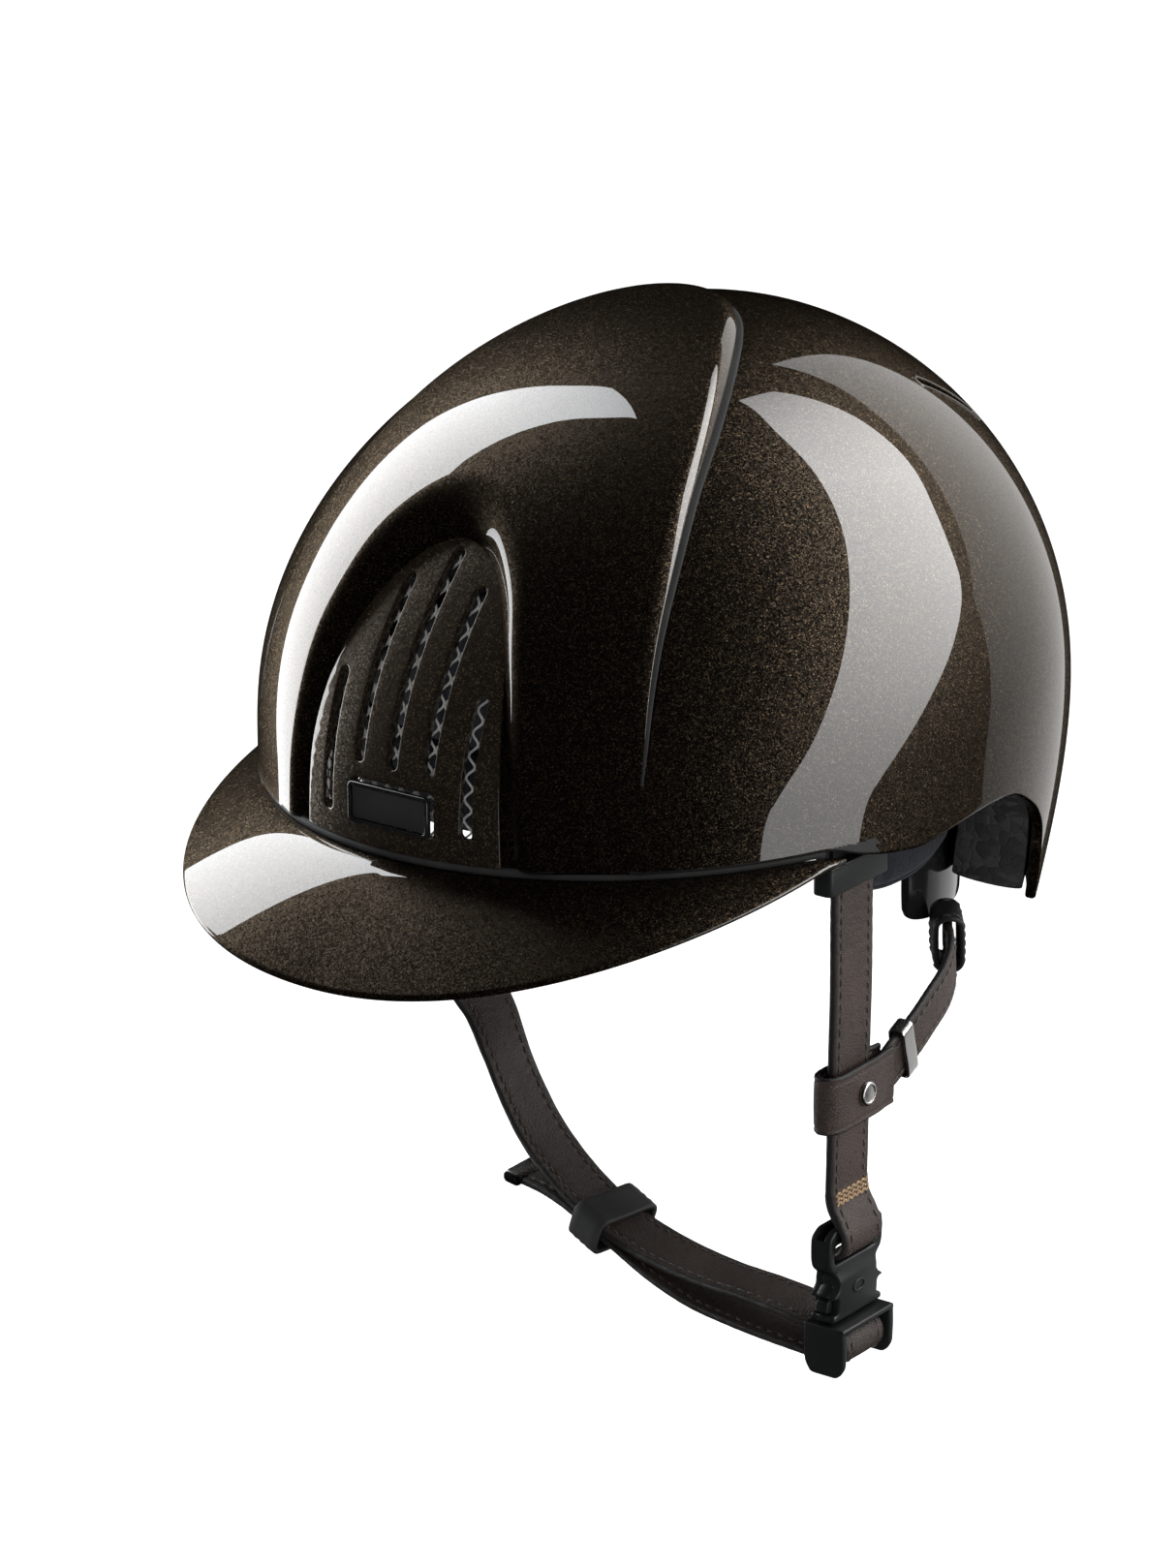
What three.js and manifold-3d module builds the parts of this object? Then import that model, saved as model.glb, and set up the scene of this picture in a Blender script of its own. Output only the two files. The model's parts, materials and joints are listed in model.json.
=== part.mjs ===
// Equestrian riding helmet: hard shell with a raised ventilated front cover, removable peak,
// energy-absorbing liner, comfort liner and a leather three-point harness with a side-release buckle.
// Units are millimetres. +Z is up, the front of the helmet faces -Y, +X is the rider's left.
// The origin is the centre of the brow rim, where the head goes in.
import * as THREE from 'three';
import { mergeVertices } from 'three/addons/utils/BufferGeometryUtils.js';
import Module from 'manifold-3d';

// ---------------------------------------------------------------- driving dimensions
const SHELL_HALF_WIDTH = 105;      // outer shell, ear to ear, half
const SHELL_FRONT = 135.4;         // centre to forehead
const SHELL_REAR = 111.2;          // centre to back of head
const FRONT_POWER = 2.10;          // plan superellipse exponents
const REAR_POWER = 1.90;
const EQUATOR_Z = 15.3;            // height of the widest section above the brow rim
const DOME_HEIGHT = 105;           // widest section to crown
const REAR_TUCK = 0.177;           // how far the neck guard curls in
const SHELL_T = 3.0;               // main shell wall
const COVER_T = 2.2;               // front cover wall
const COVER_PROUD_RIM = 0.8;       // how far the cover stands off the dome at the rim
const COVER_PROUD_CROWN = 5.2;     // and at the crown, where the air outlets are
const EPS_OUT = -4.2, EPS_IN = -24; // foam liner, offsets from the dome
const LINER_OUT = -25.6, LINER_IN = -30.5;
const PEAK_HALF_WIDTH = 94.7, PEAK_REAR_Y = -59.5, PEAK_FRONT_Y = -168.2;
const PEAK_TIP_Z = -26.4, PEAK_REAR_Z = -1.6, PEAK_T = 2.4;
const STRAP_W = 18.3, STRAP_T = 3.0, CHIN_T = 2.0, REAR_W = 15, REAR_T = 2.2;
const HANG_X = 90, HANG_Y = -52.5, HANG_Z = -4;   // where the front straps hang, mirrored in X
const LOOP_Z = -72.5;              // junction loop height on the left strap
const BUCKLE = { x: 89.5, y: -52.5 };
const BAR = { x: 90.5, z: -143.8 };  // bar in the plug that the chin strap is led round

// ---------------------------------------------------------------- solid helpers
const wasm = await Module();
wasm.setup();

function toManifold(geometry) {
  const g = geometry.clone();
  for (const k of Object.keys(g.attributes)) if (k !== 'position') g.deleteAttribute(k);
  const m = mergeVertices(g, 1e-4);
  return new wasm.Manifold(new wasm.Mesh({
    numProp: 3,
    vertProperties: new Float32Array(m.attributes.position.array),
    triVerts: new Uint32Array(m.index.array),
  }));
}
function fromManifold(solid) {
  const m = solid.getMesh();
  const p = new Float32Array(m.numVert * 3);
  for (let i = 0; i < m.numVert; i++) for (let k = 0; k < 3; k++) p[3 * i + k] = m.vertProperties[i * m.numProp + k];
  const g = new THREE.BufferGeometry();
  g.setAttribute('position', new THREE.BufferAttribute(p, 3));
  g.setIndex([...m.triVerts]);
  return g;
}
const cut = (a, ...rest) => fromManifold(rest.reduce((s, b) => s.subtract(toManifold(b)), toManifold(a)));
const common = (a, b) => fromManifold(toManifold(a).intersect(toManifold(b)));

// A closed solid between two point grids of the same size: outer[i][j] and inner[i][j].
// wrap: the i direction closes on itself. pole: the last j of each grid is one shared point.
function gridSolid(outer, inner, { wrap = false, pole = false } = {}) {
  const n = outer.length, m = outer[0].length, pos = [], idx = [];
  const add = (p) => (pos.push(p[0], p[1], p[2]), pos.length / 3 - 1);
  const index = (grid) => {
    let top = -1;
    return grid.map((row) => row.map((p, j) => {
      if (pole && j === m - 1) return top < 0 ? (top = add(p)) : top;
      return add(p);
    }));
  };
  const A = index(outer), B = index(inner);
  const tri = (a, b, c) => { if (a !== b && b !== c && a !== c) idx.push(a, b, c); };
  const quad = (a, b, c, d) => { tri(a, b, c); tri(a, c, d); };
  const last = wrap ? n : n - 1;
  for (let i = 0; i < last; i++) {
    const k = (i + 1) % n;
    for (let j = 0; j < m - 1; j++) {
      quad(A[i][j], A[k][j], A[k][j + 1], A[i][j + 1]);
      quad(B[i][j], B[i][j + 1], B[k][j + 1], B[k][j]);
    }
    quad(A[i][0], B[i][0], B[k][0], A[k][0]);
    if (!pole) quad(A[i][m - 1], A[k][m - 1], B[k][m - 1], B[i][m - 1]);
  }
  if (!wrap) for (let j = 0; j < m - 1; j++) {
    quad(A[0][j], A[0][j + 1], B[0][j + 1], B[0][j]);
    quad(A[n - 1][j], B[n - 1][j], B[n - 1][j + 1], A[n - 1][j + 1]);
  }
  const g = new THREE.BufferGeometry();
  g.setAttribute('position', new THREE.Float32BufferAttribute(pos, 3));
  g.setIndex(idx);
  return toManifold(g).volume() < 0 ? flipped(g) : g;
}
function flipped(g) {
  const a = [...g.index.array];
  for (let i = 0; i < a.length; i += 3) [a[i], a[i + 1]] = [a[i + 1], a[i]];
  g.setIndex(a);
  return g;
}
// outline [[u, v], ...] extruded from a to b along an axis ('x', 'y' or 'z')
function prism(outline, a, b, axis, holes = []) {
  const s = new THREE.Shape(outline.map(([u, v]) => new THREE.Vector2(u, v)));
  for (const h of holes) s.holes.push(new THREE.Path(h.map(([u, v]) => new THREE.Vector2(u, v))));
  const g = new THREE.ExtrudeGeometry(s, { depth: b - a, bevelEnabled: false });
  g.translate(0, 0, a);
  if (axis === 'y') g.applyMatrix4(new THREE.Matrix4().makeBasis(new THREE.Vector3(1, 0, 0), new THREE.Vector3(0, 0, 1), new THREE.Vector3(0, -1, 0)));
  if (axis === 'x') g.applyMatrix4(new THREE.Matrix4().makeBasis(new THREE.Vector3(0, 1, 0), new THREE.Vector3(0, 0, 1), new THREE.Vector3(1, 0, 0)));
  return g;
}
function roundRect(w, h, r, n = 3, cx = 0, cy = 0) {
  const out = [];
  for (const [sx, sy, a0] of [[1, -1, -90], [1, 1, 0], [-1, 1, 90], [-1, -1, 180]])
    for (let i = 0; i <= n; i++) {
      const a = (a0 + 90 * i / n) * Math.PI / 180;
      out.push([cx + sx * (w / 2 - r) + r * Math.cos(a), cy + sy * (h / 2 - r) + r * Math.sin(a)]);
    }
  return out;
}
const V = (x, y, z) => new THREE.Vector3(x, y, z);
function placed(g, origin, ex, ey, ez) {
  g.applyMatrix4(new THREE.Matrix4().makeBasis(ex.clone().normalize(), ey.clone().normalize(), ez.clone().normalize()).setPosition(origin));
  return g;
}
// a flat band led along a smooth path; side(f) gives its width direction at path fraction f
function band(points, side, width, thick, steps) {
  const curve = new THREE.CatmullRomCurve3(points.map((p) => V(...p)), false, 'centripetal');
  const outer = [], inner = [];
  for (let i = 0; i <= steps; i++) {
    const f = i / steps, c = curve.getPointAt(f), t = curve.getTangentAt(f);
    const w = V(...side(f)); w.addScaledVector(t, -w.dot(t)).normalize();
    const n = V().crossVectors(t, w).normalize();
    const at = (a, b) => c.clone().addScaledVector(w, a).addScaledVector(n, b).toArray();
    outer.push([at(-width / 2, thick / 2), at(width / 2, thick / 2)]);
    inner.push([at(-width / 2, -thick / 2), at(width / 2, -thick / 2)]);
  }
  return gridSolid(outer, inner);
}
const mix = (a, b, t) => a + (b - a) * t;
const smooth = (a, b, x) => { const t = Math.min(1, Math.max(0, (x - a) / (b - a))); return t * t * (3 - 2 * t); };

// ---------------------------------------------------------------- dome surface
const RAD = Math.PI / 180;
function planRadius(ph, off) {
  const c = Math.cos(ph), s = Math.abs(Math.sin(ph));
  const b = (c > 0 ? SHELL_FRONT : SHELL_REAR) + off, n = c > 0 ? FRONT_POWER : REAR_POWER;
  return Math.pow(Math.pow(s / (SHELL_HALF_WIDTH + off), n) + Math.pow(Math.abs(c) / b, n), -1 / n);
}
// ph: angle from the front, s: 0 at the widest section, pi/2 at the crown, negative below
function dome(ph, s, off = 0) {
  let r, z, dy = 0;
  if (s >= 0) {
    r = planRadius(ph, off) * Math.pow(Math.max(0, Math.cos(s)), 1.007);
    z = EQUATOR_Z + (DOME_HEIGHT + off) * Math.pow(Math.sin(s), 0.991);
    dy = 1.1 * Math.sin(s);
  } else {
    const dz = -DOME_HEIGHT * s;
    r = planRadius(ph, 0) * (1 - REAR_TUCK * Math.max(0, -Math.cos(ph)) * (dz / 60) ** 2) + off;
    z = EQUATOR_Z - dz;
  }
  return [r * Math.sin(ph), -r * Math.cos(ph) + dy, z];
}
// the dome's y at a place seen from the front
function frontY(x, z, off) {
  const h = (z - EQUATOR_Z) / (DOME_HEIGHT + off);
  const s = h > 0 ? Math.asin(Math.min(1, Math.pow(h, 1 / 0.991))) : 0;
  const c = Math.pow(Math.cos(s), 1.007);
  const u = Math.min(0.999, Math.abs(x) / ((SHELL_HALF_WIDTH + off) * c));
  return -(SHELL_FRONT + off) * c * Math.pow(1 - Math.pow(u, FRONT_POWER), 1 / FRONT_POWER) + 1.1 * Math.sin(s);
}
const RIM = [[0, 0], [54.9, 0], [59.4, -3], [63.1, -4.5], [70, -5.7], [74.8, -4], [80.7, -2], [84.6, -1], [88.9, -0.9], [92.2, -1.6],
  [95.5, -4.4], [100.3, -10], [103.4, -16], [105.2, -21.5], [105.9, -37], [107.2, -41], [109.5, -42.8], [114, -43], [180, -43]];
function table(rows, x) {
  for (let i = 1; i < rows.length; i++) if (x <= rows[i][0]) return mix(rows[i - 1][1], rows[i][1], (x - rows[i - 1][0]) / (rows[i][0] - rows[i - 1][0]));
  return rows[rows.length - 1][1];
}
const rimZ = (deg) => table(RIM, Math.abs(deg));
const HALF = [0, 9, 18, 27, 36, 45, 54.9, 60.5, 67, 74, 81, 88.9, 93.5, 97, 100.3, 103.4, 105.2, 105.9, 107.2, 110, 118, 128, 140, 153, 166];
const COLUMNS = [...HALF, 180, ...HALF.slice(1).reverse().map((d) => -d)];
// a dome wall between two offsets, from a lower edge to an upper one (or to the crown)
function domeWall(offOut, offIn, lower, upper, rows, columns = COLUMNS, wrap = true) {
  const make = (off) => columns.map((deg) => {
    const s0 = (lower(deg) - EQUATOR_Z) / DOME_HEIGHT;
    const s1 = upper ? (upper(deg) - EQUATOR_Z) / DOME_HEIGHT : Math.PI / 2;
    return Array.from({ length: rows + 1 }, (_, j) => {
      const s = mix(s0, s1, j / rows);
      return dome(deg * RAD, s, typeof off === 'function' ? off(s) : off);
    });
  });
  return gridSolid(make(offOut), make(offIn), { wrap, pole: !upper });
}
const coverProud = (s) => mix(COVER_PROUD_RIM, COVER_PROUD_CROWN, Math.max(0, s) / (Math.PI / 2));

// ---------------------------------------------------------------- materials and the group
const helmet = new THREE.Group();
const MAT = {
  paint: [0x2e241a, 0.18, 0.55], dark: [0x1c1c1d, 0.55, 0.0], black: [0x0c0c0d, 0.3, 0.0], foam: [0x141414, 0.85, 0.0],
  cloth: [0x15171c, 0.95, 0.0], leather: [0x4d423d, 0.6, 0.0], blackLeather: [0x121111, 0.45, 0.0], metal: [0xa8a8a6, 0.25, 1.0],
  wire: [0xb9b9b6, 0.3, 1.0], hardware: [0x2f3132, 0.55, 0.0], rubber: [0x161616, 0.8, 0.0],
};
function part(name, geometry, material) {
  const [color, roughness, metalness] = MAT[material];
  const flat = geometry.index ? geometry : mergeVertices(geometry);
  for (const k of Object.keys(flat.attributes)) if (k !== 'position') flat.deleteAttribute(k);
  const tidy = mergeVertices(flat, 1e-4);
  tidy.computeVertexNormals();
  const mesh = new THREE.Mesh(tidy, new THREE.MeshStandardMaterial({ color, roughness, metalness }));
  mesh.name = name;
  helmet.add(mesh);
  return mesh;
}

// ---------------------------------------------------------------- shells
// Plan outline of the front cover: a tongue that runs from the brow over the crown.
const TONGUE = [[0, 6.5], [9, 3.8], [16, -1.5], [25, -14], [35.5, -32.5], [45, -53], [51, -70.5], [55.6, -82.4], [58.9, -94], [62, -105], [64.4, -113], [72, -140], [90, -190]];
const UNDER = [7, 7, 7, 7, 7, 7, 5, -0.4, -0.45, -0.45, -0.45, -0.45, -0.45];   // how far the main shell runs in under the cover
function tongue(shift) {
  const side = TONGUE.map(([x, y], i) => {
    const a = TONGUE[Math.max(0, i - 1)], b = TONGUE[Math.min(TONGUE.length - 1, i + 1)];
    const tx = i ? b[0] - a[0] : 1, ty = i ? b[1] - a[1] : 0, l = Math.hypot(tx, ty), d = shift(i);
    return [Math.max(0, x + (ty / l) * d), y - (tx / l) * d];
  });
  return [...side, ...side.slice(1).reverse().map(([x, y]) => [-x, y])];
}
const tongueCover = tongue(() => 0), tongueUnder = tongue((i) => UNDER[i]);

const RECESS = [[41, -30], [41, 0], [39, 27], [35, 51], [30, 64], [24, 77], [15, 86], [7, 90.7], [0, 91.7]];
const INSERT = [[32, -30], [32, 0], [30.8, 26], [27.6, 45], [22.3, 60.7], [16, 71], [9.7, 77], [3, 80], [0, 80.4]];
const mirrored = (rows) => [...rows, ...rows.slice(0, -1).reverse().map(([x, z]) => [-x, z])];
const grown = (rows, d) => rows.map(([x, z], i) => {
  const a = rows[Math.max(0, i - 1)], b = rows[Math.min(rows.length - 1, i + 1)];
  const tx = b[0] - a[0], tz = b[1] - a[1], l = Math.hypot(tx, tz);
  return i === rows.length - 1 ? [0, z + d] : [Math.max(0.5, x + (tz / l) * d), z - (tx / l) * d];
});

function basisFrom(dir, up) {   // right-handed basis with X along dir and Z near up
  const x = dir.clone().normalize(), z = up.clone().addScaledVector(x, -up.dot(x)).normalize();
  return [x, V().crossVectors(z, x), z];
}
const ventBox = (side, l, w, a, b) => {
  const [x, y, z] = basisFrom(V(side * 3.1, 26.9, -15.8), V(side * 0.52, 0.38, 0.76));
  return placed(prism(roundRect(l, w, w / 2 - 0.1), a, b, 'z'), V(side * 56, 42, 93), x, y, z);
};

const fullShell = domeWall(0, -SHELL_T, rimZ, null, 9);
part('rear_shell', cut(fullShell, prism(tongueUnder, -60, 200, 'z'), ventBox(1, 30, 3.6, -12, 20), ventBox(-1, 30, 3.6, -12, 20)), 'paint');

const coverRim = (deg) => rimZ(deg);
const coverWall = domeWall(coverProud, (s) => coverProud(s) - COVER_T, coverRim, null, 9);
part('front_shell', cut(common(coverWall, prism(tongueCover, -60, 200, 'z')), prism(mirrored(RECESS), 20, 200, 'y')), 'paint');

// rear outlet inserts under the slots
for (const [side, name] of [[1, 'left'], [-1, 'right']]) {
  part(name + '_rear_vent', common(ventBox(side, 28.8, 2.8, -14, 20), domeWall(-0.8, -2.8, () => EQUATOR_Z, null, 10)), 'dark');
}

// ---------------------------------------------------------------- front grille
const sink = (z) => smooth(0, 82, z);
const insertOff = (z) => -1.2 - 5 * sink(z) ** 1.3;
function frontSheet(offOut, offIn, halfW, z0, z1, nx, nz) {
  const make = (off) => Array.from({ length: nx + 1 }, (_, i) => Array.from({ length: nz + 1 }, (_, j) => {
    const x = mix(-halfW, halfW, i / nx), z = mix(z0, z1, j / nz);
    return [x, frontY(x, z, off(z)), z];
  }));
  return gridSolid(make(offOut), make(offIn));
}
const slotAt = (x, z0, z1, w = 3.6) => prism(roundRect(w, z1 - z0, w / 2 - 0.05, 2, x, (z0 + z1) / 2), 20, 200, 'y');
const SLOTS = [[-22.8, 7, 44], [-11.5, 22.4, 68], [0, 22.3, 75], [11.5, 22.4, 68], [22.8, 7, 44]];
const carrierOff = (z) => insertOff(z) - 2.9;
part('grille_carrier', cut(
  common(frontSheet(carrierOff, (z) => carrierOff(z) - 1.6, 50, 0.5, 99, 12, 10), prism(mirrored(grown(RECESS, 4)), 20, 200, 'y')),
  prism(mirrored(grown(INSERT, -5).map(([x, z]) => [x, Math.max(3, z)])), 20, 200, 'y')), 'paint');
const BADGE = { w: 26.5, h: 11.2, z: 12 };
part('grille_insert', cut(
  common(frontSheet(insertOff, (z) => insertOff(z) - 2.4, 36, 0, 84, 10, 9), prism(mirrored(INSERT), 20, 200, 'y')),
  ...SLOTS.map(([x, a, b]) => slotAt(x, a, b)),
  prism(roundRect(BADGE.w + 0.7, BADGE.h + 0.7, 1.5, 3, 0, BADGE.z), 133.3, 150, 'y')), 'paint');
const meshOff = (z) => carrierOff(z) - 1.9;
part('grille_mesh', common(frontSheet(meshOff, (z) => meshOff(z) - 1.2, 40, 2, 84, 10, 9), prism(mirrored(grown(INSERT, -2).map(([x, z]) => [x, Math.max(2, z)])), 20, 200, 'y')), 'wire');
part('badge_frame', prism(roundRect(BADGE.w, BADGE.h, 1.4, 3, 0, BADGE.z), 133.6, 135.3, 'y', [roundRect(BADGE.w - 2.2, BADGE.h - 2.2, 0.9, 3, 0, BADGE.z).reverse()]), 'black');
part('badge_plate', prism(roundRect(BADGE.w - 2.8, BADGE.h - 2.8, 0.7, 3, 0, BADGE.z), 133.6, 134.8, 'y'), 'black');

// ---------------------------------------------------------------- peak
function peakEdge(t) {
  const s = Math.sin(t), c = Math.abs(Math.cos(t));
  const x = PEAK_HALF_WIDTH * Math.sign(s) * Math.abs(s) ** 0.8;
  const y = PEAK_REAR_Y + (PEAK_FRONT_Y - PEAK_REAR_Y) * c ** 1.1;
  const z = PEAK_TIP_Z + (PEAK_REAR_Z - PEAK_TIP_Z) * Math.max(0, (y - PEAK_FRONT_Y) / (PEAK_REAR_Y - PEAK_FRONT_Y)) ** 0.7;
  return [x, y, z];
}
{
  const N = 32, M = 4, top = [], bottom = [];
  for (let i = 0; i <= N; i++) {
    const u = mix(-1, 1, i / N), t = u * 86 * RAD;
    const deg = 57 * Math.sign(u) * Math.abs(u) ** 1.35;
    const inner = dome(deg * RAD, (rimZ(deg) - 1.8 - EQUATOR_Z) / DOME_HEIGHT, -2.6 + 2 * Math.abs(u) ** 8);
    const e = peakEdge(t);
    const ee = [e[0], e[1], Math.min(e[2], inner[2] - 0.3)];
    const a = [], b = [];
    for (let j = 0; j <= M; j++) {
      const w = j / M;
      const p = [mix(inner[0], ee[0], w), mix(inner[1], ee[1], w), mix(inner[2], ee[2], w ** 1.2)];
      a.push(p);
      b.push([p[0] * (1 - 0.004 * w), p[1] + 0.5 * w, p[2] - mix(PEAK_T, 1.6, w) * (1 - 0.4 * Math.abs(u) ** 4)]);
    }
    top.push(a); bottom.push(b);
  }
  part('visor', gridSolid(top, bottom), 'paint');
}
part('visor_gasket', domeWall(-0.4, -2.4, (d) => rimZ(d) - 1.4, (d) => rimZ(d) - 0.4, 1, Array.from({ length: 25 }, (_, i) => -54 + 4.5 * i), false), 'rubber');

// ---------------------------------------------------------------- liners
const hangerPocket = (side) => {
  const g = new THREE.BoxGeometry(7.4, 21, 24); g.translate(side * 89.5, HANG_Y, 6); return g;
};
part('eps_liner', cut(domeWall(EPS_OUT, EPS_IN, (d) => rimZ(d) + 1.2, null, 9),
  common(prism(mirrored(grown(RECESS, 6)), 20, 200, 'y'), frontSheet(() => 6, (z) => meshOff(z) - 2.6, 60, -8, 104, 12, 10)),
  hangerPocket(1), hangerPocket(-1)), 'foam');
const LINER_LOW = [[0, 0], [52, -1], [62, -10], [70, -24], [78, -27], [95, -27], [108, -26], [125, -24], [180, -24]];
const linerColumns = COLUMNS.filter((d, i) => i % 2 === 0);
part('headband_liner', domeWall(LINER_OUT, LINER_IN, (d) => table(LINER_LOW, Math.abs(d)), () => 26, 4, linerColumns), 'cloth');
part('crown_pad', domeWall(LINER_OUT, LINER_IN, () => 84, null, 4, linerColumns), 'cloth');

// nape yoke: a band round the back of the head that the rear straps pull on
{
  const path = [[69, 5, -33], [66.5, 18, -32.5], [59, 32.5, -31], [47, 45, -29.5], [29.5, 54.5, -28.5], [10.5, 58.5, -28], [-10.5, 58.5, -28], [-29.5, 54.5, -28.5], [-47, 45, -29.5], [-59, 32.5, -31], [-66.5, 18, -32.5], [-69, 5, -33]];
  part('nape_yoke', band(path, () => [0, 0, 1], 22, 2.4, 26), 'black');
}

// ---------------------------------------------------------------- hangers
for (const [side, name] of [[1, 'left'], [-1, 'right']]) {
  const body = roundRect(28, 8.2, 2.2, 3, HANG_Y, -9.2);
  const block = prism(body, side > 0 ? 86.6 : -92.8, side > 0 ? 92.8 : -86.6, 'x');
  const pocket = new THREE.BoxGeometry(4, 24.4, 12); pocket.translate(side * (HANG_X - 0.1), HANG_Y, -12.4);
  const stem = new THREE.BoxGeometry(1.8, 16, 22); stem.translate(side * 88.6, HANG_Y, 5);
  part(name + '_hanger', fromManifold(toManifold(block).add(toManifold(stem)).subtract(toManifold(pocket))), 'hardware');
  const rivet = new THREE.CylinderGeometry(3.2, 3.2, 1.3, 16); rivet.rotateZ(Math.PI / 2); rivet.translate(side * 86.85, HANG_Y, 9.5);
  part(name + '_hanger_rivet', rivet, 'metal');
}

// ---------------------------------------------------------------- front straps and junction loops
const LEFT = [[HANG_X, HANG_Y, -9.7], [HANG_X, -52.3, -30], [HANG_X, -52.8, -60], [89.6, -52.8, -90], [89.5, -52.5, -113.5]];
part('left_front_strap', band(LEFT, () => [0, 1, 0], STRAP_W, STRAP_T, 14), 'leather');
const RIGHT = [[-HANG_X, HANG_Y, -9.7], [-89.9, -52.4, -15], [-85.5, -50.6, -25], [-74.5, -45.7, -43], [-62, -40.2, -61.5], [-51.2, -35.4, -77.2]];
const rightSide = (f) => [0.15 * smooth(0.2, 1, f), 1, 0.1 * f];
part('right_front_strap', band(RIGHT, rightSide, STRAP_W, CHIN_T, 16), 'leather');

// junction loop: a leather wrap round the front strap, closed by a rivet.
// Local axes: X across the strap towards the rear, Y outwards, Z up along the strap.
function junction(name, c, down, side, out) {
  const z = down.clone().negate().normalize();
  const x = side.clone().addScaledVector(z, -side.dot(z)).normalize();
  const y = V().crossVectors(z, x).normalize();
  const flip = y.dot(out) < 0 ? -1 : 1, H = 16.6;
  const outer = roundRect(31, 8.6, 4.2, 5, 0.6, 0), inner = roundRect(22.4, 5, 2.4, 4, -1.6, 0);
  const M = new THREE.Matrix4().makeBasis(x, y, z).setPosition(c);
  part(name + '_y_loop', prism(outer, -H / 2, H / 2, 'z', [inner.reverse()]).applyMatrix4(M), 'leather');
  const rivet = new THREE.CylinderGeometry(3.4, 3.4, 1.2, 16);
  rivet.translate(1.5, flip * 5.2, 0);
  part(name + '_loop_rivet', rivet.applyMatrix4(M), 'metal');
  return M;
}
const rightCurve = new THREE.CatmullRomCurve3(RIGHT.map((p) => V(...p)), false, 'centripetal');
const RIGHT_F = 0.80;
junction('left', V(HANG_X - 0.1, -52.3, LOOP_Z), V(0, 0, -1), V(0, 1, 0), V(1, 0, 0));
junction('right', rightCurve.getPointAt(RIGHT_F), rightCurve.getTangentAt(RIGHT_F), V(...rightSide(RIGHT_F)), V(-1, 0, -0.6));

// rear straps, from the junction loops up to the nape loops
const L_REAR = [[90.2, -32.6, -70.4], [90, -25, -67.3], [89.2, -14, -62.6], [87.4, -3, -58.2], [84.2, 5, -54.8], [79.6, 10.6, -51.8], [76.4, 14.2, -50.2]];
const R_REAR = [[-61, -17.6, -60.6], [-64.2, -9, -58.6], [-69, 0, -56], [-74, 7.5, -53], [-77, 13.8, -50.4]];
const lSide = (f) => [0.12, -0.42 + 0.2 * f, 0.9], rSide = (f) => [-0.3 * (1 - f) - 0.05, -0.3, 0.9];
part('left_rear_strap', band(L_REAR, lSide, REAR_W, REAR_T, 16), 'leather');
part('right_rear_strap', band(R_REAR, rSide, REAR_W, REAR_T, 12), 'leather');
// leather loops from the nape yoke that hold the rear straps' ends
for (const [pts, side, name] of [[L_REAR, lSide, 'left'], [R_REAR, rSide, 'right']]) {
  const c = new THREE.CatmullRomCurve3(pts.map((p) => V(...p)), false, 'centripetal');
  const z = c.getTangentAt(0.95), w = V(...side(0.95)), x = w.addScaledVector(z, -w.dot(z)).normalize(), y = V().crossVectors(z, x);
  part(name + '_nape_loop', placed(prism(roundRect(20.4, 8.8, 3, 3), -3.4, 6.2, 'z', [roundRect(16.6, 5, 0.9, 2).reverse()]), c.getPointAt(0.95), x, y, z), 'blackLeather');
}

// small metal tags folded over the rear straps beside the loops
function tag(name, c, along, across) {
  const x = along.clone().normalize(), z = across.clone().addScaledVector(x, -across.dot(x)).normalize(), y = V().crossVectors(z, x);
  const g = prism(roundRect(5.4, 5.2, 1, 2), -8.6, 8.6, 'z');
  const hole = prism(roundRect(8, REAR_T + 0.9, 0.6, 2), -REAR_W / 2 - 0.35, REAR_W / 2 + 0.35, 'z');
  const solid = cut(g, hole);
  part(name, placed(solid, c, x, y, z), 'metal');
}
for (const [pts, side, name, f] of [[L_REAR, lSide, 'left_strap_tag', 0.11], [R_REAR, rSide, 'right_strap_tag', 0.14]]) {
  const c = new THREE.CatmullRomCurve3(pts.map((p) => V(...p)), false, 'centripetal');
  tag(name, c.getPointAt(f), c.getTangentAt(f), V(...side(f)));
}

// ---------------------------------------------------------------- chin strap, tail, keeper
const CHIN = [[-50.5, -35.1, -78.2], [-46, -33.9, -85.2], [-39.6, -35.5, -95.1], [-33.2, -37, -104.9], [-24.5, -39.5, -114.3], [-14, -42.3, -121.6], [-1, -45, -128.2], [12, -47, -133], [28, -49, -136.2], [46, -50.6, -137.6], [62, -51.6, -137.6], [74, -52.2, -138.2], [83, -52.4, -139.4], [90.5, -52.5, -139.6],
  [94, -52.5, -140.8], [95.1, -52.5, -143.8], [94, -52.5, -146.8], [90.5, -52.5, -148], [82, -52.5, -147.6]];
part('chin_strap', band(CHIN, (f) => [0, 1, 0.05 * (1 - smooth(0.5, 0.72, f))], STRAP_W, CHIN_T, 44), 'leather');
const TAIL = [[81.3, -52.5, -147.6], [70, -52.4, -147], [56, -52, -145.9], [42, -51, -144.4], [28, -49.4, -141], [14, -47.2, -136.4], [4, -45.6, -132.9], [-5, -44.2, -129.5], [-14, -43.4, -127.2], [-21, -43.2, -126.2]];
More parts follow.
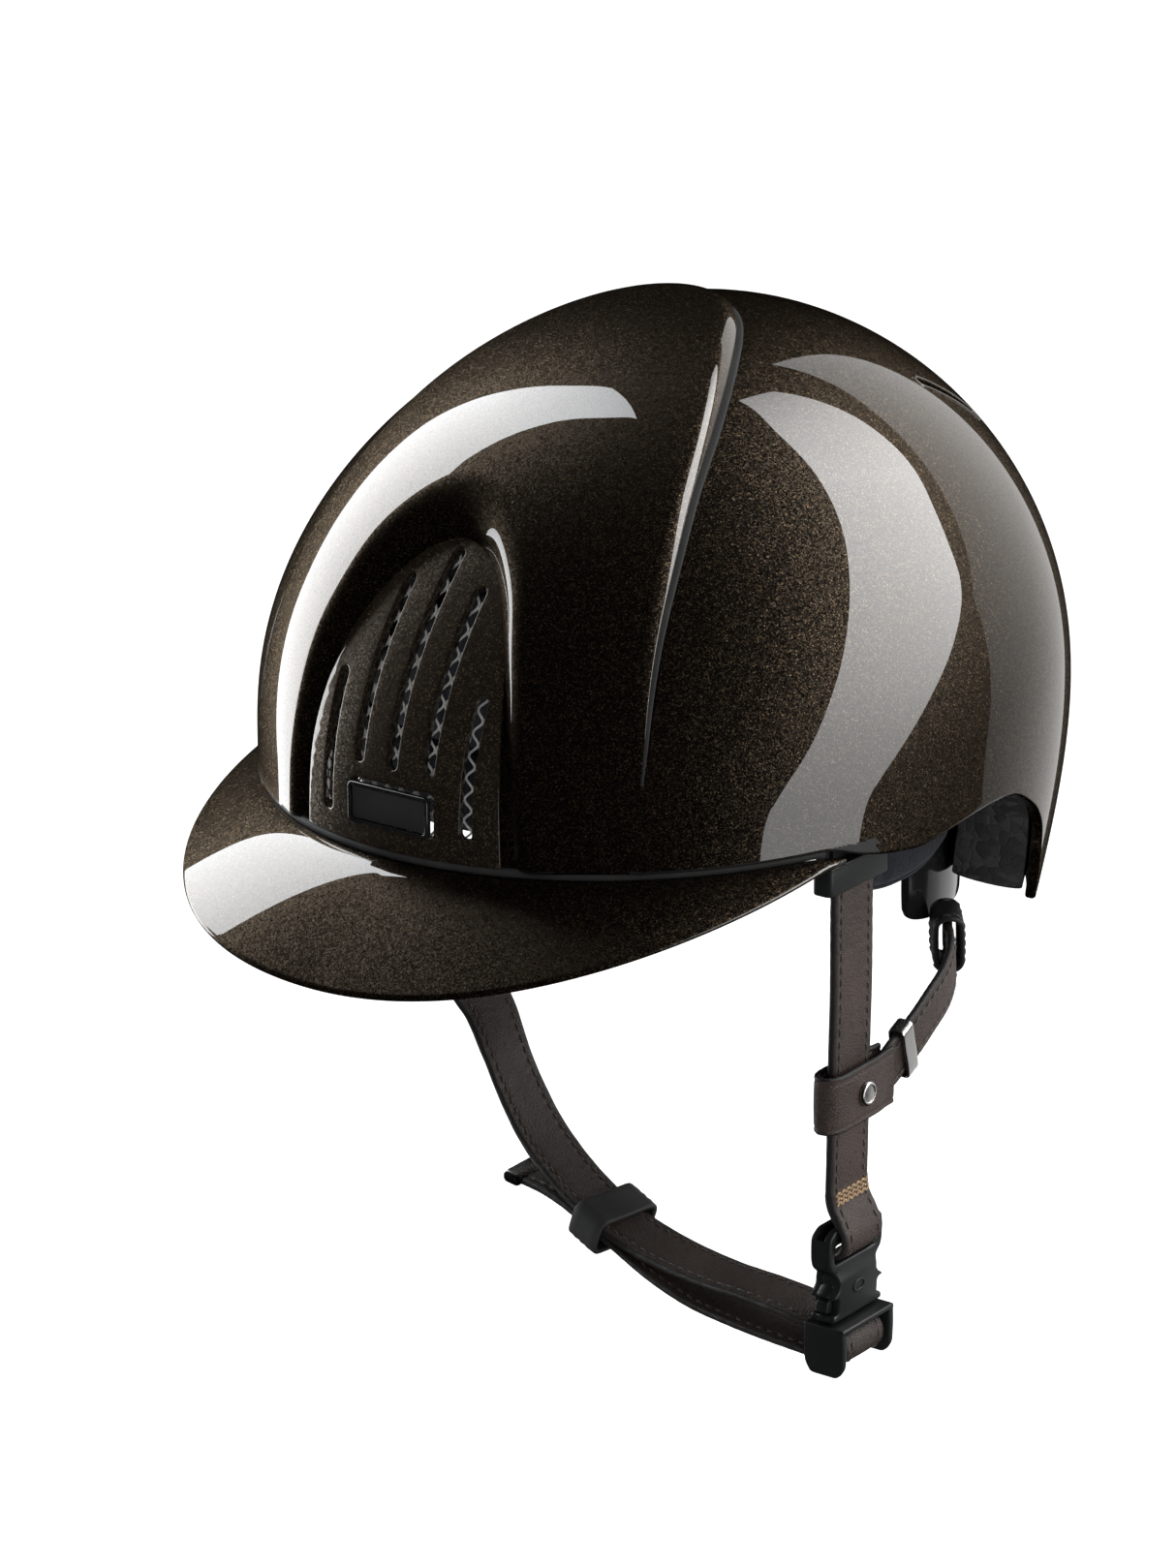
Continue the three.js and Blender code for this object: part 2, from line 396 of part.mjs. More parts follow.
part('strap_tail', band(TAIL, (f) => [0, 1, 0.05 * smooth(0.1, 0.4, f)], STRAP_W - 0.6, CHIN_T, 22), 'leather');
{
  // folded metal end cap on the tail
  const d = V(-7, 0.2, 1).normalize(), w = V(0, 1, 0.05), x = d, z = w.addScaledVector(x, -w.dot(x)).normalize(), y = V().crossVectors(z, x);
  const g = prism(roundRect(6, 3.8, 1.6, 3), -9.3, 9.3, 'z');
  part('strap_tip', placed(g, V(-24.4, -43.1, -125.7), x, y, z), 'metal');
}

{
  // the keeper slides along both layers
  const a = V(6.4, -46.2, -132.5), x = V(13.2, -2.1, -5.0).normalize(), w = V(0, 1, 0.05);
  const across = w.addScaledVector(x, -w.dot(x)).normalize(), through = V().crossVectors(x, across);
  part('keeper', placed(prism(roundRect(23.4, 12, 2.4, 3), -5.6, 5.6, 'z', [roundRect(19.9, 8.6, 0.8, 2).reverse()]), a, across, through, x), 'rubber');
}

// ---------------------------------------------------------------- side-release buckle
{
  const X0 = BUCKLE.x, Y0 = BUCKLE.y;
  const ring = prism(roundRect(25.6, 13, 4, 4, Y0, -115.2), X0 - 3.2, X0 + 3.2, 'x', [roundRect(20, 5.6, 1.2, 2, Y0, -116.2).reverse()]);
  const slotUp = new THREE.BoxGeometry(STRAP_T + 0.9, STRAP_W + 1.2, 9); slotUp.translate(X0, Y0, -110.5);
  const body = prism([[Y0 - 8.6, -120.6], [Y0 + 8.6, -120.6], [Y0 + 9, -126], [Y0 + 11.6, -128.5], [Y0 + 11.6, -135.8], [Y0 - 11.6, -135.8], [Y0 - 11.6, -128.5], [Y0 - 9, -126]], X0 - 4.2, X0 + 4.2, 'x');
  const cavity = new THREE.BoxGeometry(5.2, 18.4, 14); cavity.translate(X0, Y0, -130.6);
  const windows = new THREE.BoxGeometry(5.2, 40, 5.2); windows.translate(X0, Y0, -130.9);
  const solid = toManifold(ring).add(toManifold(body)).subtract(toManifold(slotUp)).subtract(toManifold(cavity)).subtract(toManifold(windows));
  part('buckle_socket', fromManifold(solid), 'hardware');
  // plug: cheeks and bars below, a centre tongue going up into the socket
  const frame = prism([[Y0 - 12.4, -136.4], [Y0 + 12.4, -136.4], [Y0 + 12.4, -148.4], [Y0 + 10.8, -151], [Y0 - 10.8, -151], [Y0 - 12.4, -148.4]], BAR.x - 6.6, BAR.x + 6.6, 'x');
  const gap = new THREE.BoxGeometry(30, STRAP_W + 1.4, 20); gap.translate(BAR.x, Y0, -148);
  const bar = new THREE.BoxGeometry(3.2, STRAP_W + 3, 2.8); bar.translate(BAR.x, Y0, BAR.z);
  const head = new THREE.BoxGeometry(4.2, 4, 11.4); head.translate(X0, Y0, -130.9);
  const g = toManifold(frame).subtract(toManifold(gap)).add(toManifold(bar)).add(toManifold(head));
  part('buckle_plug', fromManifold(g), 'hardware');
  for (const [sy, name] of [[-1, 'prong_front'], [1, 'prong_rear']]) {
    const o = [[4.2, -135.95], [7.6, -135.95], [8.3, -133], [11.9, -133], [12.1, -131], [8.8, -128.7], [8.4, -126], [6.6, -125.4], [5.4, -127.6]];
    const pts = o.map(([y, z]) => [Y0 + sy * y, z]);
    part(name, prism(sy > 0 ? pts : pts.reverse(), X0 - 1.9, X0 + 1.9, 'x'), 'hardware');
  }
}

export default helmet;
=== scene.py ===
# Equestrian riding helmet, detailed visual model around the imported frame.
# Lengths in the code are millimetres and become metres when a mesh is made.
import bpy, json, math
import numpy as np
from mathutils import Vector, Matrix
from mathutils.geometry import delaunay_2d_cdt

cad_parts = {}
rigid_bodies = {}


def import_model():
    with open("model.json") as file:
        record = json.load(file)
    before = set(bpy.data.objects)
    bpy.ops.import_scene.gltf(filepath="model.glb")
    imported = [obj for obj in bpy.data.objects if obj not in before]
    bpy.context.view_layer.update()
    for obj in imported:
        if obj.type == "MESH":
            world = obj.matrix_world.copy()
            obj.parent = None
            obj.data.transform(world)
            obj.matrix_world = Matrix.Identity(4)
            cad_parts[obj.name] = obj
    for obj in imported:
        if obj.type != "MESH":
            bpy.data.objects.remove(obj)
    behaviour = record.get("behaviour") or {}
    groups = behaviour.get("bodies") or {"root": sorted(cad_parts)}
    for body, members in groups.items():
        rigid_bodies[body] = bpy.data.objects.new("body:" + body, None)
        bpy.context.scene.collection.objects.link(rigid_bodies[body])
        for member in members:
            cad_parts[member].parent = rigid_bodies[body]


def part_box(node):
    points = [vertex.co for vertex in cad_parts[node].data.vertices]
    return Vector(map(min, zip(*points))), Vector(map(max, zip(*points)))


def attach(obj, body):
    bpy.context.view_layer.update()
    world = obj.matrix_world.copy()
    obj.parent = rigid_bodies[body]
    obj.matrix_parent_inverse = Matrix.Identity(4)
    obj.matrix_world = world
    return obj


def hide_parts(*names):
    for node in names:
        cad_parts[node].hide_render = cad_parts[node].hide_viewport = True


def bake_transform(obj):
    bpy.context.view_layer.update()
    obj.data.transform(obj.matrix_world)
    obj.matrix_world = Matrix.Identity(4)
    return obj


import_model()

MM = 0.001
PI = math.pi
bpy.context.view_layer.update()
scene = bpy.context.scene

# ------------------------------------------------------------------ mesh helpers
def mesh_object(name, V, F, mats, fmat=None, smooth=True, sharp=None, normals=None):
    me = bpy.data.meshes.new(name)
    me.from_pydata((np.asarray(V, float) * MM).tolist(), [], F)
    for m in (mats if isinstance(mats, (list, tuple)) else [mats]):
        me.materials.append(m)
    if fmat is not None:
        me.polygons.foreach_set("material_index", np.asarray(fmat, np.int32))
    me.polygons.foreach_set("use_smooth", [bool(smooth)] * len(me.polygons))
    if sharp:
        me.set_sharp_from_angle(angle=math.radians(sharp))
    me.update()
    if normals is not None:
        me.normals_split_custom_set_from_vertices(np.asarray(normals, float).tolist())
    o = bpy.data.objects.new(name, me)
    scene.collection.objects.link(o)
    return o


def grid_faces(nu, nv, wu=False, wv=False, base=0, flip=False):
    F = []
    for i in range(nu if wu else nu - 1):
        a, b = i * nv + base, ((i + 1) % nu) * nv + base
        for j in range(nv if wv else nv - 1):
            k = (j + 1) % nv
            F.append((a + j, b + j, b + k, a + k) if not flip else (a + j, a + k, b + k, b + j))
    return F


class Build:
    """Collects vertices and faces of several shells into one mesh."""
    def __init__(self):
        self.V, self.F, self.M = [], [], []
        self.n = 0

    def add(self, V, F, m=0):
        V = np.asarray(V, float).reshape(-1, 3)
        self.V.append(V)
        self.F += [tuple(i + self.n for i in f) for f in F]
        self.M += [m] * len(F) if not hasattr(m, "__len__") else list(m)
        self.n += len(V)

    def make(self, name, mats, **k):
        return mesh_object(name, np.concatenate(self.V), self.F, mats, fmat=self.M, **k)


def smooth01(a, b, x):
    t = np.clip((np.asarray(x, float) - a) / (b - a), 0, 1)
    return t * t * (3 - 2 * t)


def mix(a, b, t):
    return a + (b - a) * t


def unit(v):
    v = np.asarray(v, float)
    return v / np.maximum(np.linalg.norm(v, axis=-1, keepdims=True), 1e-12)


def resample(P, n, closed=False):
    P = np.asarray(P, float)
    if closed:
        P = np.vstack([P, P[:1]])
    d = np.r_[0, np.cumsum(np.linalg.norm(np.diff(P, axis=0), axis=1))]
    t = np.linspace(0, d[-1], n + (1 if closed else 0))
    out = np.stack([np.interp(t, d, P[:, k]) for k in range(P.shape[1])], 1)
    return out[:-1] if closed else out


def catmull(P, per=24, closed=False):
    """Centripetal Catmull-Rom through P."""
    P = np.asarray(P, float)
    if closed:
        Q = np.vstack([P[-1], P, P[0], P[1]])
    else:
        Q = np.vstack([2 * P[0] - P[1], P, 2 * P[-1] - P[-2]])
    out = []
    for i in range(1, len(Q) - 2):
        p0, p1, p2, p3 = Q[i - 1:i + 3]
        t0 = 0.0
        t1 = t0 + max(np.linalg.norm(p1 - p0) ** 0.5, 1e-6)
        t2 = t1 + max(np.linalg.norm(p2 - p1) ** 0.5, 1e-6)
        t3 = t2 + max(np.linalg.norm(p3 - p2) ** 0.5, 1e-6)
        t = np.linspace(t1, t2, per, endpoint=False)[:, None]
        a1 = (t1 - t) / (t1 - t0) * p0 + (t - t0) / (t1 - t0) * p1
        a2 = (t2 - t) / (t2 - t1) * p1 + (t - t1) / (t2 - t1) * p2
        a3 = (t3 - t) / (t3 - t2) * p2 + (t - t2) / (t3 - t2) * p3
        b1 = (t2 - t) / (t2 - t0) * a1 + (t - t0) / (t2 - t0) * a2
        b2 = (t3 - t) / (t3 - t1) * a2 + (t - t1) / (t3 - t1) * a3
        out.append((t2 - t) / (t2 - t1) * b1 + (t - t1) / (t2 - t1) * b2)
    out = np.concatenate(out)
    return out if closed else np.vstack([out, P[-1:]])


def gauss(P, sig, closed=False):
    """Smooths a sampled polyline, its ends held."""
    P = np.asarray(P, float)
    k = int(3 * sig) + 1
    w = np.exp(-0.5 * (np.arange(-k, k + 1) / sig) ** 2)
    w /= w.sum()
    if closed:
        Q = np.vstack([P[-k:], P, P[:k]])
    else:
        Q = np.vstack([2 * P[0] - P[k:0:-1], P, 2 * P[-1] - P[-2:-k - 2:-1]])
    out = np.stack([np.convolve(Q[:, c], w, "valid") for c in range(P.shape[1])], 1)
    if not closed:
        out[0], out[-1] = P[0], P[-1]
    return out


# ------------------------------------------------------------------ the dome, a smooth surface under every shell
PLAN = [113.3792, 10.8532, 9.1953, 1.8532, 0.7665, -0.4162]
EQ = 15.3


def plan(ph):
    return sum(c * np.cos(k * ph) for k, c in enumerate(PLAN))


def soft(x, e):
    return 0.5 * (x + np.sqrt(x * x + e * e))


def dome(ph, s):
    ph, s = np.broadcast_arrays(np.asarray(ph, float), np.asarray(s, float))
    up = soft(s, 0.10) - 0.0006
    tuck = 1 - 0.177 * (soft(-np.cos(ph), 0.12)) * (105 * soft(-s, 0.04) / 60) ** 2
    r = plan(ph) * np.maximum(np.cos(np.minimum(up, PI / 2)), 0) ** 1.007 * tuck
    z = EQ + 105 * np.where(s > 0, np.sin(np.minimum(s, PI / 2)), s)
    return np.stack([r * np.sin(ph), -r * np.cos(ph) + 1.1 * np.sin(np.maximum(s, 0)), z], -1)


def dome_q(q):
    """q is the dome unrolled about the crown: length 0 at the crown, 1 at the widest section."""
    q = np.asarray(q, float)
    rho = np.hypot(q[..., 0], q[..., 1])
    return dome(np.arctan2(q[..., 0], -q[..., 1]), (1 - rho) * PI / 2)


def to_q(ph, s):
    rho = 1 - np.asarray(s) / (PI / 2)
    return np.stack([rho * np.sin(ph), -rho * np.cos(ph)], -1)


def s_of(q):
    return (1 - np.hypot(q[..., 0], q[..., 1])) * PI / 2


def surf(q, off=None):
    """Point and normal of the dome raised by off(q), off a function, a number or None."""
    q = np.asarray(q, float)
    h = 1.5e-3
    n0 = lambda c: unit(np.cross(dome_q(c + [h, 0]) - dome_q(c - [h, 0]), dome_q(c + [0, h]) - dome_q(c - [0, h])))
    N = n0(q)
    if off is None:
        return dome_q(q), N
    f = off if callable(off) else (lambda c: np.zeros(c.shape[:-1]) + off)
    at = lambda c: dome_q(c) + n0(c) * f(c)[..., None]
    P = at(q)
    N2 = unit(np.cross(at(q + [h, 0]) - at(q - [h, 0]), at(q + [0, h]) - at(q - [0, h])))
    return P, N2


def q_front(x, z):
    x, z = np.broadcast_arrays(np.asarray(x, float), np.asarray(z, float))
    s = np.where(z > EQ, np.arcsin(np.clip((z - EQ) / 105, -1, 1)), (z - EQ) / 105)
    c = np.cos(soft(s, 0.10) - 0.0006) ** 1.007
    lo, hi = np.full(x.shape, -1.45), np.full(x.shape, 1.45)
    for _ in range(36):
        m = (lo + hi) / 2
        big = plan(m) * c * np.sin(m) > x
        hi, lo = np.where(big, m, hi), np.where(big, lo, m)
    return to_q((lo + hi) / 2, s)


def q_plan(x, y):
    s = np.zeros(np.shape(x))
    for _ in range(30):
        yy = np.asarray(y) - 1.1 * np.sin(s)
        ph, R = np.arctan2(x, -yy), np.hypot(x, yy)
        c = np.clip((R / plan(ph)), 0, 1) ** (1 / 1.007)
        up = np.arccos(c) + 0.0006
        s = np.maximum(up - 0.0025 / np.maximum(up, 0.05), 0)
    return to_q(np.arctan2(x, -(np.asarray(y) - 1.1 * np.sin(s))), s)


def front(x, z, off):
    """The point seen from the front at (x, z) on the dome lowered by off, with its normal."""
    x, z, off = np.broadcast_arrays(np.asarray(x, float), np.asarray(z, float), np.asarray(off, float))
    x0, z0 = x.copy(), z.copy()
    for _ in range(5):
        q = q_front(x0, z0)
        P, N = surf(q)
        P = P + N * off[..., None]
        x0, z0 = x0 + (x - P[..., 0]), z0 + (z - P[..., 2])
    return P, N


RIM = [[0, 0], [54.9, 0], [59.4, -3], [63.1, -4.5], [70, -5.7], [74.8, -4], [80.7, -2], [84.6, -1], [88.9, -0.9], [92.2, -1.6],
       [95.5, -4.4], [100.3, -10], [103.4, -16], [105.2, -21.5], [105.9, -37], [107.2, -41], [109.5, -42.8], [114, -43], [180, -43]]
_d = np.linspace(-200, 200, 4001)
_z = np.interp(np.minimum(np.abs(_d), 360 - np.abs(_d)), [r[0] for r in RIM], [r[1] for r in RIM])
_w = np.exp(-0.5 * (np.arange(-30, 31) / 9.0) ** 2)
_z = np.convolve(np.pad(_z, 30, "edge"), _w / _w.sum(), "valid")
rim_z = lambda deg: np.interp(deg, _d, _z)

TONGUE = [[0, 6.5], [9, 3.8], [16, -1.5], [25, -14], [35.5, -32.5], [45, -53], [51, -70.5], [55.6, -82.4], [58.9, -94], [61.3, -102.5]]
RECESS = [[41, 0], [40.3, 14], [39, 27], [35, 51], [30, 64], [24, 77], [15, 86], [7, 90.7], [0, 91.7]]
INSERT = [[32, 0], [31.6, 13], [30.8, 26], [27.6, 45], [22.3, 60.7], [16, 71], [9.7, 77], [3, 80], [0, 80.4]]


def symmetric(rows):
    rows = [list(r) for r in rows]
    return np.array(rows + [[-x, y] for x, y in rows[:-1][::-1]], float)


def outline_q(rows, convert, n, sig):
    P = catmull(symmetric(rows), 40)
    Q = convert(P[:, 0], P[:, 1])
    return gauss(resample(Q, n), sig)


NU = 361
Q_I = outline_q(INSERT, q_front, NU, 4)
Q_R = outline_q(RECESS, q_front, NU, 6)
_t = TONGUE[::-1]
_foot = 0.5236 * 0.988
_rows = catmull(symmetric([[x, y] for x, y in _t]), 40)
_q = q_plan(_rows[:, 0], _rows[:, 1])
_ph0 = math.atan2(63.6, 110.2)
_foot = to_q(np.full(12, _ph0), np.linspace(-EQ / 105, 0.05, 12))
_footr = _foot * [-1, 1]
Q_O = gauss(resample(np.vstack([_foot, _q, _footr[::-1]]), NU * 3), 22)[:, :]
Q_O = resample(Q_O, NU)

proud_z = lambda z: np.interp(z, [0, 26, 34, 52, 70, 83, 93.5, 104, 114, 126], [0, 0, .15, .9, 1.8, 2.5, 3.2, 3.9, 4.6, 5.2])
_zz = np.linspace(-60, 140, 2001)
_pz = gauss(proud_z(_zz)[:, None], 60)[:, 0]
proud_z = lambda z: np.interp(z, _zz, _pz)
z_of = lambda q: dome_q(q)[..., 2]
proud = lambda q: proud_z(z_of(q))
insert_off = lambda z: -1.2 - 5 * smooth01(0, 82, z) ** 1.3


def line_len(qa, qb, n=24):
    t = np.linspace(0, 1, n)[None, :, None]
    P = dome_q(qa[:, None] + (qb - qa)[:, None] * t)
    return np.linalg.norm(np.diff(P, axis=1), axis=2).sum(1)


# ------------------------------------------------------------------ materials
def material(name):
    m = bpy.data.materials.new(name)
    m.use_nodes = True
    nt = m.node_tree
    b = nt.nodes["Principled BSDF"]
    return m, nt, b


def node(nt, kind, **props):
    n = nt.nodes.new(kind)
    for k, v in props.items():
        if k in n.inputs.keys() if hasattr(n.inputs, "keys") else False:
            n.inputs[k].default_value = v
        else:
            setattr(n, k, v)
    return n


def coords(nt, scale=1.0):
    t = nt.nodes.new("ShaderNodeTexCoord")
    m = nt.nodes.new("ShaderNodeMapping")
    nt.links.new(t.outputs["Object"], m.inputs["Vector"])
    m.inputs["Scale"].default_value = scale if hasattr(scale, "__len__") else (scale,) * 3
    return m.outputs["Vector"]


def noise_tex(nt, vec, scale, detail=3.0, rough=0.55):
    n = nt.nodes.new("ShaderNodeTexNoise")
    n.inputs["Scale"].default_value = scale
    n.inputs["Detail"].default_value = detail
    n.inputs["Roughness"].default_value = rough
    nt.links.new(vec, n.inputs["Vector"])
    return n


def voronoi(nt, vec, scale, feature="F1"):
    n = nt.nodes.new("ShaderNodeTexVoronoi")
    n.feature = feature
    n.inputs["Scale"].default_value = scale
    nt.links.new(vec, n.inputs["Vector"])
    return n


def ramp(nt, fac, stops):
    r = nt.nodes.new("ShaderNodeValToRGB")
    e = r.color_ramp.elements
    while len(e) < len(stops):
        e.new(0.5)
    for i, (p, c) in enumerate(stops):
        e[i].position = p
        e[i].color = (*c, 1) if len(c) == 3 else c
    nt.links.new(fac, r.inputs["Fac"])
    return r.outputs["Color"]


def maths(nt, op, a, b=None, clamp=False):
    n = nt.nodes.new("ShaderNodeMath")
    n.operation = op
    n.use_clamp = clamp
    for i, v in enumerate((a, b)):
        if v is None:
            continue
        if isinstance(v, (int, float)):
            n.inputs[i].default_value = v
        else:
            nt.links.new(v, n.inputs[i])
    return n.outputs[0]


def bump(nt, height, strength, dist, normal=None):
    n = nt.nodes.new("ShaderNodeBump")
    n.inputs["Strength"].default_value = strength
    n.inputs["Distance"].default_value = dist
    nt.links.new(height, n.inputs["Height"])
    if normal is not None:
        nt.links.new(normal, n.inputs["Normal"])
    return n.outputs["Normal"]


def paint_material(name, base=(0.0128, 0.0098, 0.0068), flake=0.30, metallic=0.86):
    """Brown metallic flake under a mirror-smooth clear coat."""
    m, nt, b = material(name)
    L = nt.links
    v = coords(nt)
    cells = voronoi(nt, v, 2600)
    fine = voronoi(nt, v, 5200)
    sep = nt.nodes.new("ShaderNodeSeparateColor")
    L.new(cells.outputs["Color"], sep.inputs["Color"])
    # each flake lies at its own small tilt
    geo = nt.nodes.new("ShaderNodeNewGeometry")
    sub = nt.nodes.new("ShaderNodeVectorMath")
    sub.operation = "SUBTRACT"
    L.new(cells.outputs["Color"], sub.inputs[0])
    sub.inputs[1].default_value = (0.5, 0.5, 0.5)
    sc = nt.nodes.new("ShaderNodeVectorMath")
    sc.operation = "SCALE"
    L.new(sub.outputs[0], sc.inputs[0])
    sc.inputs["Scale"].default_value = flake
    add = nt.nodes.new("ShaderNodeVectorMath")
    add.operation = "ADD"
    L.new(geo.outputs["Normal"], add.inputs[0])
    L.new(sc.outputs[0], add.inputs[1])
    nm = nt.nodes.new("ShaderNodeVectorMath")
    nm.operation = "NORMALIZE"
    L.new(add.outputs[0], nm.inputs[0])
    L.new(nm.outputs[0], b.inputs["Normal"])
    # flake brightness: most dull, a few bright and golden
    sep2 = nt.nodes.new("ShaderNodeSeparateColor")
    L.new(fine.outputs["Color"], sep2.inputs["Color"])
    amount = maths(nt, "MULTIPLY", sep.outputs["Red"], sep2.outputs["Green"])
    r, g, bl = base
    L.new(ramp(nt, amount, [(0.0, (r * .62, g * .62, bl * .62)), (0.35, (r, g, bl)), (0.55, (r * 2.4, g * 2.2, bl * 2.0)), (0.85, (r * 9.0, g * 8.0, bl * 6.6))]), b.inputs["Base Color"])
    b.inputs["Metallic"].default_value = metallic
    b.inputs["Specular Tint"].default_value = (0.82, 0.72, 0.62, 1)
    b.inputs["Roughness"].default_value = 0.38
    b.inputs["Coat Weight"].default_value = 1.0
    b.inputs["Coat Roughness"].default_value = 0.012
    b.inputs["Coat IOR"].default_value = 1.52
    return m


def plain_plastic(name, color, rough, grain=900, depth=0.00006, coat=0.0, spread=0.12):
    """Moulded plastic: a fine spark-eroded grain and slight unevenness in gloss."""
    m, nt, b = material(name)
    v = coords(nt)
    n1 = noise_tex(nt, v, grain, 4)
    n2 = noise_tex(nt, v, 26, 3)
    c = color
    nt.links.new(ramp(nt, n2.outputs["Fac"], [(0.3, [x * 0.86 for x in c]), (0.7, [min(1, x * 1.14) for x in c])]), b.inputs["Base Color"])
    rr = nt.nodes.new("ShaderNodeMapRange")
    rr.inputs["To Min"].default_value = max(0.02, rough - spread / 2)
    rr.inputs["To Max"].default_value = min(1, rough + spread / 2)
    nt.links.new(n2.outputs["Fac"], rr.inputs["Value"])
    nt.links.new(rr.outputs["Result"], b.inputs["Roughness"])
    nt.links.new(bump(nt, n1.outputs["Fac"], 0.5, depth), b.inputs["Normal"])
    b.inputs["Coat Weight"].default_value = coat
    b.inputs["Coat Roughness"].default_value = 0.03
    return m


def leather_material(name, dark, light, rough=0.48, grain=1150, depth=0.00022):
    """Full-grain leather: pebbled cells, creases and pores over an uneven dye."""
    m, nt, b = material(name)
    L = nt.links
    v = coords(nt)
    warp = noise_tex(nt, v, 260, 2)
    mixv = nt.nodes.new("ShaderNodeVectorMath")
    mixv.operation = "MULTIPLY_ADD"
    L.new(warp.outputs["Color"], mixv.inputs[0])
    mixv.inputs[1].default_value = (0.0011,) * 3
    L.new(v, mixv.inputs[2])
    cell = voronoi(nt, mixv.outputs[0], grain, "DISTANCE_TO_EDGE")
    pore = noise_tex(nt, v, 2600, 3, 0.7)
    crease = noise_tex(nt, v, 150, 6, 0.62)
    tone = noise_tex(nt, v, 42, 5, 0.6)
    edge = nt.nodes.new("ShaderNodeMapRange")
    edge.inputs["From Max"].default_value = 0.22
    L.new(cell.outputs["Distance"], edge.inputs["Value"])
    h = maths(nt, "MULTIPLY", edge.outputs["Result"], 0.75)
    h = maths(nt, "ADD", h, maths(nt, "MULTIPLY", pore.outputs["Fac"], 0.3))
    h = maths(nt, "ADD", h, maths(nt, "MULTIPLY", crease.outputs["Fac"], 0.8))
    col = ramp(nt, maths(nt, "ADD", maths(nt, "MULTIPLY", tone.outputs["Fac"], 0.7), maths(nt, "MULTIPLY", edge.outputs["Result"], 0.3)),
               [(0.28, dark), (0.75, light)])
    L.new(col, b.inputs["Base Color"])
    rr = nt.nodes.new("ShaderNodeMapRange")
    rr.inputs["To Min"].default_value = rough - 0.08
    rr.inputs["To Max"].default_value = rough + 0.12
    L.new(crease.outputs["Fac"], rr.inputs["Value"])
    L.new(rr.outputs["Result"], b.inputs["Roughness"])
    L.new(bump(nt, h, 0.55, depth), b.inputs["Normal"])
    b.inputs["Specular IOR Level"].default_value = 0.33
    return m


def thread_material(name, dark, light):
    m, nt, b = material(name)
    v = coords(nt)
    w = nt.nodes.new("ShaderNodeTexWave")
    w.inputs["Scale"].default_value = 900
    w.inputs["Distortion"].default_value = 2.0
    nt.links.new(v, w.inputs["Vector"])
    nt.links.new(ramp(nt, w.outputs["Fac"], [(0.2, dark), (0.8, light)]), b.inputs["Base Color"])
    nt.links.new(bump(nt, w.outputs["Fac"], 0.5, 0.0001), b.inputs["Normal"])
    b.inputs["Roughness"].default_value = 0.7
    b.inputs["Sheen Weight"].default_value = 0.2
    return m


def cloth_material(name, dark, light, sheen=0.08, scale=1500, depth=0.0003):
    """Brushed comfort cloth: a knit under short fibres."""
    m, nt, b = material(name)
    L = nt.links
    v = coords(nt)
    fib = noise_tex(nt, v, scale, 5, 0.75)
    knit = voronoi(nt, v, 700)
    tone = noise_tex(nt, v, 60, 4)
    L.new(ramp(nt, maths(nt, "ADD", maths(nt, "MULTIPLY", fib.outputs["Fac"], 0.6), maths(nt, "MULTIPLY", tone.outputs["Fac"], 0.4)),
               [(0.34, dark), (0.66, light)]), b.inputs["Base Color"])
    h = maths(nt, "ADD", maths(nt, "MULTIPLY", knit.outputs["Distance"], 0.6), fib.outputs["Fac"])
    L.new(bump(nt, h, 0.8, depth), b.inputs["Normal"])
    b.inputs["Roughness"].default_value = 0.95
    b.inputs["Sheen Weight"].default_value = sheen
    b.inputs["Sheen Roughness"].default_value = 0.5
    b.inputs["Specular IOR Level"].default_value = 0.12
    return m


def foam_material(name):
    """Moulded bead foam."""
    m, nt, b = material(name)
    v = coords(nt)
    cell = voronoi(nt, v, 330, "DISTANCE_TO_EDGE")
    tone = voronoi(nt, v, 330)
    sep = nt.nodes.new("ShaderNodeSeparateColor")
    nt.links.new(tone.outputs["Color"], sep.inputs["Color"])
    nt.links.new(ramp(nt, sep.outputs["Red"], [(0.0, (.010, .010, .010)), (1.0, (.021, .021, .022))]), b.inputs["Base Color"])
    e = nt.nodes.new("ShaderNodeMapRange")
    e.inputs["From Max"].default_value = 0.12
    nt.links.new(cell.outputs["Distance"], e.inputs["Value"])
    nt.links.new(bump(nt, e.outputs["Result"], 0.6, 0.0003), b.inputs["Normal"])
    b.inputs["Roughness"].default_value = 0.72
    return m


def metal_material(name, color=(0.62, 0.61, 0.59), rough=0.24):
    m, nt, b = material(name)
    v = coords(nt)
    s = noise_tex(nt, v, 700, 5, 0.7)
    t = noise_tex(nt, v, 90, 3)
    nt.links.new(ramp(nt, t.outputs["Fac"], [(0.3, [c * .8 for c in color]), (0.7, color)]), b.inputs["Base Color"])
    rr = nt.nodes.new("ShaderNodeMapRange")
    rr.inputs["To Min"].default_value = rough - 0.08
    rr.inputs["To Max"].default_value = rough + 0.12
    nt.links.new(s.outputs["Fac"], rr.inputs["Value"])
    nt.links.new(rr.outputs["Result"], b.inputs["Roughness"])
    nt.links.new(bump(nt, s.outputs["Fac"], 0.15, 0.00004), b.inputs["Normal"])
    b.inputs["Metallic"].default_value = 1.0
    return m


def rubber_material(name):
    m, nt, b = material(name)
    v = coords(nt)
    n = noise_tex(nt, v, 1400, 4, 0.65)
    t = noise_tex(nt, v, 55, 4)
    nt.links.new(ramp(nt, t.outputs["Fac"], [(0.3, (.010, .010, .010)), (0.7, (.020, .020, .020))]), b.inputs["Base Color"])
    nt.links.new(bump(nt, n.outputs["Fac"], 0.4, 0.00008), b.inputs["Normal"])
    b.inputs["Roughness"].default_value = 0.62
    return m


